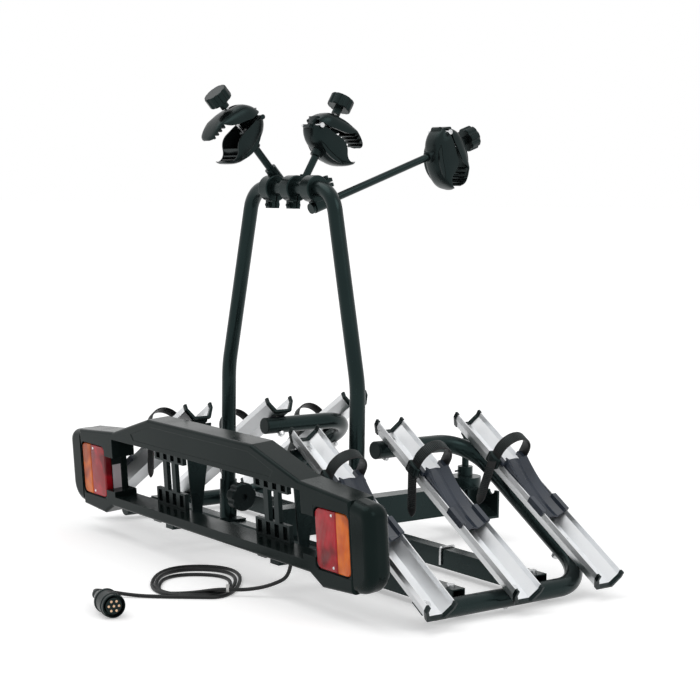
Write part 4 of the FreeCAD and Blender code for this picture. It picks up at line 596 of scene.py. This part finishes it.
def wheel_strap(side, row, start, lean):
    """Band, loose end, ribs and buckle of one strap; its loose end leans out by an angle."""
    skin = Skin()
    across = (rail_spot(side, row, 1, 0, 0) - rail_spot(side, row, 0, 0, 0)).normalized()
    rise = (rail_spot(side, row, 0, 0, 1) - rail_spot(side, row, 0, 0, 0)).normalized()
    sideways = Vector((0, 1, 0))
    rings, ribs = [], []
    for (y, z), way in strap_stations():
        out = sideways * way[0] + rise * way[1]
        middle = rail_spot(side, row, start, y, z)
        rings.append(band_ring(middle, across, out, STRAP_HALF, HALF_THICK))
    skin.loft(rings)
    for step in range(ARCH_RIBS + 1):
        angle = math.pi * (1 - step / ARCH_RIBS)
        out = sideways * math.cos(angle) + rise * math.sin(angle)
        ahead = across.cross(out).normalized()
        spot = rail_spot(side, row, start, ARCH_RADIUS * math.cos(angle),
                         ARCH_CENTRE + ARCH_RADIUS * math.sin(angle))
        ribs.append((spot + out * HALF_THICK, across, ahead, (20.0, 1.3, 0.8)))
    down = Vector((0, -math.sin(lean), -math.cos(lean)))
    flat = Vector((side, 0, 0))
    face = flat.cross(down).normalized()
    head = rail_spot(side, row, start, -STRAP_REACH - 3.2, 0)
    skin.loft([band_ring(head + down * reach, flat, face, half, HALF_THICK)
               for reach, half in LOOSE_END])
    for step in range(END_RIBS):
        spot = head + down * (18 + END_RIB_STEP * step) - face * side * HALF_THICK
        ribs.append((spot, flat, down, (20.0, 1.5, 0.8)))
    add_buckle(skin, side, row, start)
    skin.add_mesh(rib_mesh(ribs, FINISH["strap_plastic"]))
    name = "strap_%s_%d" % ("right" if side > 0 else "left", row)
    return skin.made(name, FINISH["strap_plastic"], FINISH["plastic_black"])


def add_buckle(skin, side, row, start):
    """A housing round the band and a thumb lever on its outer face."""
    for half, low, high, out_low, out_high in (HOUSING, LEVER):
        rings = []
        for out, inset in ((out_low, 1.6), (out_low + 0.5, 0.5), (out_low + 1.4, 0), (out_high, 0)):
            outline = rounded_outline(-half + inset, half - inset, low + inset, high - inset,
                                      [3.0] * 4, steps=3)
            rings.append([rail_spot(side, row, start + a, out, b) for a, b in outline])
        skin.loft(rings, slot=1)


STRAP_LEAN = {1: 0.0, 2: 0.0, 3: math.radians(22)}
straps = {}
for side, side_name in ((1, "right"), (-1, "left")):
    for row in (1, 2, 3):
        start = 186 if side < 0 and row > 1 else 146
        straps[side_name, row] = wheel_strap(side, row, start, STRAP_LEAN[row])
print(len(straps), "straps,", len(straps["right", 1].data.vertices), "vertices in the first")

# %% [markdown]
# The jaws are moulded shells: a deep bowl below and a curved leaf above, wide at the hinge and
# narrower at the tip, hollow on the side that grips. The bowl's rim runs high beside the hinge and
# drops to a thin curled lip. The leaf is a hood with a comb of cross bars under its tip. One skin
# drawn through U-shaped rings gives the round outside and the thin walls together, and its two
# edges are read from short tables of places, because no simple rule follows such a moulding.
# Each table runs from the heel to the tip: PLAN gives the half width, the others a height.

# %% Jaw outlines
HOOP_TOP_Y, HOOP_TOP_Z = -137, 748
# Per arm: place on the hoop's bar, lean of the rod, offset and distance of the jaw, its turn
# about the rod, and how much further its leaf is opened.
ARM_PLACES = {1: (-67, 42.5, 22.0, 100.0, 180, 9),
              2: (6, -29.6, 14.0, 95.6, 0, 0),
              3: (75, -69.8, 34.7, 303.0, 0, -5)}
HINGE = Vector((0, -37, 35))
PLAN = [(-48, 14), (-46, 17), (-42, 21), (-36, 25), (-28, 28.4), (-18, 30.8), (0, 31.8),
        (30, 31.8), (55, 28), (74, 24), (84, 17)]
BOWL_BACK = [(-46, 29.5), (-45, 26.6), (-43, 22.2), (-40, 17), (-34, 9.9), (-26, 3.7), (-16, -0.6),
             (-8, -2.6), (5, -7.2), (20, -10), (35, -9.8), (50, -6), (62, -0.3), (72, 7.1),
             (78, 13.1), (82, 17.8)]
BOWL_RIM = [(-46, 30), (-44.5, 31.2), (-41, 32.2), (-37, 33.4), (-33, 35.6), (-29, 38),
            (-27, 38.4), (18, 38.4), (25, 37.7), (32, 35.4), (38, 31.9), (43, 27.3), (48, 20),
            (54, 14.8), (61, 12.5), (68, 12.9), (75, 16.3), (80, 22)]
BOWL_FLOOR = [(-24, 14), (-8, 3), (5, -2.5), (20, -5.4), (38, -4.5), (55, 0.9), (65, 6.6), (75, 15)]
LEAF_BACK = [(-43, 45.6), (-42, 49.4), (-39.6, 55.4), (-36, 61.4), (-31, 67), (-22, 73.6),
             (-10, 77.8), (4, 79.2), (12, 80), (25, 80.2), (38, 78.5), (48, 75.9), (58, 72),
             (68, 66.6), (76, 61.1), (81, 57)]
LEAF_RIM = [(-43, 45.2), (-41, 43.6), (-37, 43), (-31, 43.4), (-18, 43.6), (0, 48.1), (20, 52.6),
            (31, 57.1), (38, 62), (46, 68), (54, 66.6), (62, 64), (70, 59.9), (79, 53.2)]
LEAF_ROOF = [(-22, 66), (-10, 71), (2, 74), (14, 75.2), (26, 75), (38, 73.5), (48, 69.5)]


def along(pairs, at):
    """Value at a place by smooth steps through given pairs."""
    if at <= pairs[0][0]:
        return pairs[0][1]
    for number, ((first, low), (last, high)) in enumerate(zip(pairs, pairs[1:])):
        if at <= last:
            before = pairs[max(number - 1, 0)]
            after = pairs[min(number + 2, len(pairs) - 1)]
            t = (at - first) / (last - first)
            slope_in = (high - before[1]) / (last - before[0]) * (last - first)
            slope_out = (after[1] - low) / (after[0] - first) * (last - first)
            return ((2 * t ** 3 - 3 * t ** 2 + 1) * low + (t ** 3 - 2 * t ** 2 + t) * slope_in
                    + (3 * t ** 2 - 2 * t ** 3) * high + (t ** 3 - t ** 2) * slope_out)
    return pairs[-1][1]


print("jaw outlines with", len(BOWL_RIM), "and", len(LEAF_RIM), "places on the rims")

# %% [markdown]
# Each ring of the skin is a U in its own plane: round outside from rim to rim, then down into the
# hollow and back. Extra rings where a hollow starts and ends keep its walls upright.

# %% Rings of a jaw
ROUND_STEPS, ACROSS_POWER, DEPTH_POWER = 20, 0.66, 0.72
RING_COUNT, TIP_LENGTH, HOLLOW_WALL = 48, 7, 3.0


def outside(v, half, outer, inner):
    """The round outside of one ring, from one rim to the other."""
    spots = []
    for step in range(ROUND_STEPS + 1):
        angle = math.pi * (1 + step / ROUND_STEPS)
        x = math.copysign(abs(math.cos(angle)) ** ACROSS_POWER, math.cos(angle)) * half
        spots.append((x, v, inner + (outer - inner) * abs(math.sin(angle)) ** DEPTH_POWER))
    return spots


def jaw_ring(v, half, outer, inner, floor, hollow):
    """The outside, then the hollow's two walls and its floor."""
    ring = outside(v, half, outer, inner)
    toward = 1.0 if inner > outer else -1.0
    rim = inner + toward * 0.25
    deep = min(hollow - 0.8, half * 0.82) if abs(floor - inner) > 4 else hollow - 0.8
    for x, w in ((hollow, rim), (deep, floor), (-deep, floor), (-hollow, rim)):
        ring.append((x, v, w))
    return ring


def jaw_rings(outer, inner, hollows, start, end):
    """Hollows are (first v, last v, outline of the hollow's floor, widest half width)."""
    stops = {start + (end - start) * step / RING_COUNT for step in range(RING_COUNT + 1)}
    for low, high, floor_line, widest in hollows:
        stops |= {low, low + 0.1, high, high - 0.1}
    rings = []
    for v in sorted(stops):
        past = max(0.0, (v - end + TIP_LENGTH) / TIP_LENGTH)
        fade = math.sqrt(max(0.02, 1 - past ** 2))
        half = along(PLAN, v) * (0.45 + 0.55 * fade)
        out, ins = along(outer, v), along(inner, v)
        toward = 1.0 if ins > out else -1.0
        floor, hollow = ins - toward * 0.1, half - 4
        for low, high, floor_line, widest in hollows:
            if low < v < high:
                floor = along(floor_line, v)
                hollow = min(half - HOLLOW_WALL, widest)
        rings.append(jaw_ring(v, half, out, ins, floor, hollow))
    return rings


def jaw_frame(number, wider=0.0):
    """Where a jaw stands, swung about its hinge by an angle if it is a leaf."""
    x, lean, offset, end, turn = ARM_PLACES[number][:5]
    place = Matrix.Translation((x, HOOP_TOP_Y, HOOP_TOP_Z))
    place = place @ Matrix.Rotation(math.radians(lean), 4, "X")
    place = place @ Matrix.Translation((0, offset, end))
    place = place @ Matrix.Rotation(math.radians(turn), 4, "Z")
    swing = Matrix.Rotation(math.radians(wider), 4, "X")
    return place @ Matrix.Translation(HINGE) @ swing @ Matrix.Translation(-HINGE)


print("jaw 1 ends at", tuple(round(value) for value in jaw_frame(1) @ Vector((0, 82, 20))))

# %% [markdown]
# The screw runs through both shells: through a round hole in the bowl, and through a long slot in
# the leaf, so that the leaf can swing past it. A Boolean cuts each through the finished skin.

# %% Holes for the screw
def cut_through(obj, place, outline, low, high):
    """Cut a hole of the given outline along the screw and leave a plain mesh."""
    cutter_skin = Skin()
    cutter_skin.loft([[place @ Vector((x, v, w)) for x, v in outline] for w in (low, high)])
    cutter = cutter_skin.made("hole_shape", FINISH["plastic_black"])
    cut = obj.modifiers.new("hole", "BOOLEAN")
    cut.operation, cut.object, cut.solver = "DIFFERENCE", cutter, "EXACT"
    ready = obj.evaluated_get(bpy.context.evaluated_depsgraph_get())
    mesh = bpy.data.meshes.new_from_object(ready)
    obj.modifiers.remove(cut)
    obj.data = mesh
    bpy.data.objects.remove(cutter)


def shell_with_hole(place, rings, outline, low, high):
    """A jaw's skin with its hole, ready to gain the smaller parts."""
    skin = Skin()
    skin.loft([[place @ Vector(spot) for spot in ring] for ring in rings])
    shell = skin.made("shell", FINISH["plastic_black"])
    cut_through(shell, place, outline, low, high)
    skin = Skin()
    skin.add_mesh(shell.data)
    bpy.data.objects.remove(shell)
    return skin


print("screw hole tool ready")

# %% [markdown]
# The bowl carries the boss for the rod, a guide for the screw and the hinge pin with its nut. Its
# cross walls take the bowl's own outline, a little smaller, so that they never show outside.

# %% Jaw bowls
BAR_COUNT, FIRST_BAR, BAR_STEP, BAR_THICK = 4, 45.0, 9.0, 2.5
BORE, SCREW_BORE = 7.5 + 0.3, 4.6
BOSS_AND_GUIDE = [(BORE, -13.8), (11.0, -13.8), (12.0, -12.8), (12.0, 11.4), (11.4, 12), (9, 12.4),
                  (9, 29.2), (8.2, 30), (5.0, 30), (SCREW_BORE, 29.5), (SCREW_BORE, 4.2),
                  (BORE, 4.2)]
PIN_AND_NUT = [(2.4, -35.4), (3.0, -34.8), (3.0, 32.3), (4.6, 32.3), (5.0, 32.8), (5.0, 34.4),
               (4.4, 35.0), (3.2, 35.0), (2.8, 34.1)]
PIN_HEAD = [(3.4, -35.5), (4.6, -35.3), (5.0, -34.6), (5.0, -33.0), (4.6, -32.5)]


def bar_edges(bar):
    """Where one of the jaw's cross walls starts and ends."""
    start = FIRST_BAR + BAR_STEP * bar
    return start, start + BAR_THICK


def hinge_axis(place):
    return place @ Matrix.Translation(HINGE) @ Matrix.Rotation(math.pi / 2, 4, "Y")


def lower_jaw(number):
    place = jaw_frame(number)
    heel = (-50.0, -24.0, [(-60, 24), (0, 24)], 22.2)
    bowl = (-23.9, 75.0, BOWL_FLOOR, 28.5)
    rings = jaw_rings(BOWL_BACK, BOWL_RIM, [heel, bowl], -45.7, 81.8)
    hole = rounded_outline(-8.4, 8.4, -8.4, 8.4, [8.3] * 4, steps=4)
    skin = shell_with_hole(place, rings, hole, -30, 30)
    for bar in range(BAR_COUNT):
        wall = []
        for v in bar_edges(bar):
            half, ins = along(PLAN, v) - 1.4, along(BOWL_RIM, v) - 0.3
            spots = outside(v, half, along(BOWL_BACK, v) + 1.4, ins)
            wall.append([place @ Vector(spot) for spot in spots])
        skin.loft(wall)
    skin.lathe(place, BOSS_AND_GUIDE, endless=True)
    side = hinge_axis(place)
    skin.lathe(side, PIN_AND_NUT, slot=1)
    if number == 1:
        skin.lathe(side, PIN_HEAD, slot=1)
    pin_finish = FINISH["steel_black"] if number == 1 else FINISH["plated_steel"]
    return skin.made("jaw_bowl_%d" % number, FINISH["plastic_black"], pin_finish)


bowls = {number: lower_jaw(number) for number in ARM_PLACES}
print("bowls", {number: len(bowl.data.polygons) for number, bowl in bowls.items()})

# %% [markdown]
# The leaf turns on a knuckle at the bowl's heel, where the pin shows on both sides of it. The
# comb's bars hang under the thin tip.

# %% Jaw leaves
KNUCKLE = [(6.4, -9.2), (7.2, -8.4), (7.2, 8.4), (6.4, 9.2)]
NECK = ((35.2, 7.4), (41, 7.8), (46, 12), (52, 18))


def upper_jaw(number):
    place = jaw_frame(number, ARM_PLACES[number][5])
    rings = jaw_rings(LEAF_BACK, LEAF_RIM, [(-22.0, 48.0, LEAF_ROOF, 28.5)], -42.8, 80.8)
    slot_hole = rounded_outline(-5.2, 5.2, -18, 14, [5.0] * 4, steps=4)
    skin = shell_with_hole(place, rings, slot_hole, 40, 100)
    for bar in range(BAR_COUNT):
        wall = []
        for v in bar_edges(bar):
            half, low = along(PLAN, v) - 1.2, 61 - (v - 44) * 0.28
            high = along(LEAF_RIM, v) + 2.2
            outline = rounded_outline(-half, half, low, high, [0.8] * 4, steps=2)
            wall.append([place @ Vector((x, v, w)) for x, w in outline])
        skin.loft(wall)
    skin.lathe(hinge_axis(place), KNUCKLE)
    neck = []
    for w, half in NECK:
        outline = rounded_outline(-half, half, HINGE.y - 7.6, HINGE.y + 7.6, [3.4] * 4, steps=4)
        neck.append([place @ Vector((x, v, w)) for x, v in outline])
    skin.loft(neck)
    return skin.made("jaw_leaf_%d" % number, FINISH["plastic_black"])


jaws = {number: (bowls[number], upper_jaw(number)) for number in ARM_PLACES}
print("leaves", {number: len(pair[1].data.polygons) for number, pair in jaws.items()})

# %% [markdown]
# A lens is a thin moulded cap with rounded corners and a rolled front edge. The red and the amber
# part of one lamp meet in a straight line, so each corner has its own radius. Two small screws
# hold the red part. The board's own openings are square, so a small block rounds each corner.

# %% Lenses
CORNER, SQUARE = 13.0, 0.8
LENS_LOW, LENS_HIGH = 86.2, 195.8
# Each edge of a lamp opening, with the way from it into the opening.
OPENING_SIDES, OPENING_ENDS = ((484.9, -1), (382.1, 1)), ((197.9, -1), (84.1, 1))
LENS_SCREW_X = 433.5
LENS_SCREW = [(2.6, -1.0), (2.6, 0.5), (2.2, 1.0), (1.2, 1.1), (0.9, 0.6)]


def lens_shell(skin, side, x_low, x_high, radii):
    """One cap from its open back to its front face; the outline is mirrored for the left lamp."""
    rings = []
    for back, inset in ((16.8, 0.0), (4.6, 0.0), (2.6, 0.4), (1.5, 1.3), (1.0, 2.8)):
        shrunk = [max(radius - inset, 0.3) for radius in radii]
        outline = rounded_outline(x_low + inset, x_high - inset, LENS_LOW + inset,
                                  LENS_HIGH - inset, shrunk)
        rings.append([on_board(side * x, back, z) * 1000 for x, z in outline])
    skin.loft(rings)


def lens_screw(skin, side, x, z):
    spot = on_board(side * x, 1.3, z) * 1000
    place = Matrix.Translation(spot) @ Matrix.Rotation(math.radians(90) + BOARD_LEAN, 4, "X")
    skin.lathe(place, LENS_SCREW, slot=1, segments=16)


def lamp_lens(name, x_low, x_high, radii, finish, screws):
    skin = Skin()
    for side in (1, -1):
        lens_shell(skin, side, x_low, x_high, radii)
        for z in screws:
            lens_screw(skin, side, LENS_SCREW_X, z)
    return skin.made(name, finish, FINISH["plated_steel"])


def lamp_corners():
    """The board's lamp openings have round corners: a small fillet block stands in each."""
    skin = Skin()
    arc = [math.radians(90 * step / 8) for step in range(9)]
    for side in (1, -1):
        for x, way_x in OPENING_SIDES:
            for z, way_z in OPENING_ENDS:
                outline = [(x, z)] + [(x + way_x * CORNER * (1 - math.sin(a)),
                                       z + way_z * CORNER * (1 - math.cos(a))) for a in arc]
                skin.loft([[on_board(side * a, back, b) * 1000 for a, b in outline]
                           for back in (0.15, 3.4)])
    return skin.made("lamp_corners", FINISH["board_plastic"])


corners = lamp_corners()
red_lens = lamp_lens("red_lens_caps", 384.1, 444.6, [SQUARE, CORNER, CORNER, SQUARE],
                     FINISH["red_lens"], (95, 188))
amber_lens = lamp_lens("amber_lens_caps", 445.1, 482.9, [CORNER, SQUARE, SQUARE, CORNER],
                       FINISH["amber_lens"], ())
print("lens caps made")

# %% [markdown]
# The plug is turned: a clamping nut with a grip, a cone, a shell with a step, and a deep face with
# seven contacts, some of them hollow. Spinning one profile gives all of it but the contacts and
# the locking lug.

# %% Plug
PLUG_PLACE, PLUG_TURN = (111, -628.4, 22.5), math.radians(-9.8)
PLUG_PROFILE = [(3.6, 0), (8.0, 0), (9.0, 1.2), (9.0, 6), (8.4, 6.6), (8.4, 13), (9.6, 15),
                (10.4, 17), (14.0, 28), (18.6, 42), (20.0, 49), (20.4, 50), (22.0, 51),
                (22.0, 55), (20.6, 56.2), (20.6, 79), (22.0, 80), (22.0, 85.6), (20.9, 86.6),
                (20.9, 95.2), (20.2, 96), (19.2, 96), (19.0, 95.4), (19.0, 84.2), (15.2, 84.2),
                (15.0, 93.4), (14.4, 94), (0.4, 94)]
CONTACT = [(2.3, 93.6), (2.3, 95.2), (1.9, 95.6), (1.1, 95.6), (1.0, 94.3)]
CONTACT_COUNT, CONTACT_CIRCLE = 7, 9.4
LUG = ((-2.2, 18), (2.2, 18), (2.2, 21.8), (-2.2, 21.8))


def socket_plug():
    skin = Skin()
    ahead = Vector((math.cos(PLUG_TURN), math.sin(PLUG_TURN), 0))
    turned = Vector((0, 0, 1)).rotation_difference(ahead).to_matrix().to_4x4()
    place = Matrix.Translation(PLUG_PLACE) @ turned
    skin.lathe(place, PLUG_PROFILE, segments=44)
    for number in range(CONTACT_COUNT):
        radius = 0.0 if number == CONTACT_COUNT - 1 else CONTACT_CIRCLE
        angle = math.radians(60 * number + 20)
        spot = place @ Matrix.Translation((radius * math.cos(angle), radius * math.sin(angle), 0))
        skin.lathe(spot, CONTACT, slot=1, segments=14)
    skin.loft([[place @ Vector((x, y, z)) for x, y in LUG] for z in (66.0, 80.5)])
    return skin.made("socket_plug", FINISH["plastic_black"], FINISH["brass"])


plug = socket_plug()
print("plug made,", len(plug.data.polygons), "faces")

# %% [markdown]
# The floor is a pale plain that keeps the object's soft shadow. To the camera and in reflections
# it gains a little plain white, so that it fades into the white backdrop without more light on
# the object. The world gives even studio light, and two wide suns shape it.

# %% Floor, backdrop and lamps
FLOOR_SIZE, FLOOR_GLOW = 200.0, 0.38
WORLD_LIGHT, WORLD_SEEN = 0.55, 1.0


def seen_plainly(tree):
    """1 for the camera, reflections and what shows through glass, 0 for light on the object."""
    path = tree.nodes.new("ShaderNodeLightPath")
    both = sums(tree, "MAXIMUM", path.outputs["Is Camera Ray"], path.outputs["Is Glossy Ray"])
    return sums(tree, "MAXIMUM", both, path.outputs["Is Transmission Ray"])


def stage_floor():
    mesh = bpy.data.meshes.new("studio_floor")
    spots = [(FLOOR_SIZE * x, FLOOR_SIZE * y, 0) for x, y in ((-1, -1), (1, -1), (1, 1), (-1, 1))]
    mesh.from_pydata(spots, [], [(0, 1, 2, 3)])
    floor = bpy.data.objects.new("studio_floor", mesh)
    bpy.context.collection.objects.link(floor)
    material = bpy.data.materials.new("studio floor")
    material.use_nodes = True
    tree = material.node_tree
    tree.nodes.remove(tree.nodes["Principled BSDF"])
    matt = put(tree, "ShaderNodeBsdfDiffuse", Color=(0.86, 0.86, 0.86, 1))
    strength = sums(tree, "MULTIPLY", seen_plainly(tree), FLOOR_GLOW)
    glow = put(tree, "ShaderNodeEmission", Strength=strength)
    joined = put(tree, "ShaderNodeAddShader", in_0=matt.outputs[0], in_1=glow.outputs[0])
    tree.links.new(joined.outputs[0], tree.nodes["Material Output"].inputs["Surface"])
    mesh.materials.append(material)


def studio_world():
    world = bpy.data.worlds.new("studio")
    world.use_nodes = True
    bpy.context.scene.world = world
    tree = world.node_tree
    sky = tree.nodes["Background"]
    strength = spread(tree, seen_plainly(tree), 0.0, 1.0, WORLD_LIGHT, WORLD_SEEN)
    tree.links.new(strength, sky.inputs["Strength"])
    sky.inputs["Color"].default_value = (1, 1, 1, 1)


def wide_sun(name, direction, strength, angle):
    """An even light from one side; its wide disc gives soft shadows and soft highlights."""
    lamp = bpy.data.lights.new(name, "SUN")
    lamp.energy = strength
    lamp.angle = math.radians(angle)
    obj = bpy.data.objects.new(name, lamp)
    obj.rotation_euler = Vector(direction).to_track_quat("-Z", "Y").to_euler()
    bpy.context.collection.objects.link(obj)


stage_floor()
studio_world()
wide_sun("key", (0.35, 0.30, -1.0), 0.85, 50)
wide_sun("side", (-0.9, -0.2, -0.8), 0.45, 30)
print("studio ready")

# %% Tie the pieces to their bodies
def tie(obj, body, slot, *nodes):
    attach(obj, body)
    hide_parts(*nodes)


tie(cable, "rack", "cable_black", "cable", "cable_hank")
tie(plug, "rack", "plastic_black", "plug")
tie(red_lens, "rack", "red_lens", "red_lenses")
tie(amber_lens, "rack", "amber_lens", "amber_lenses")
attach(corners, "rack")
for (side, row), strap in straps.items():
    tie(strap, "cradle_%s_%d" % (side, row), "strap_plastic", "wheel_strap_%s_%d" % (side, row))
for number, (bowl, leaf) in jaws.items():
    tie(bowl, "lower_jaw_%d" % number, "plastic_black", "lower_jaw_%d" % number)
    tie(leaf, "upper_jaw_%d" % number, "plastic_black", "upper_jaw_%d" % number)
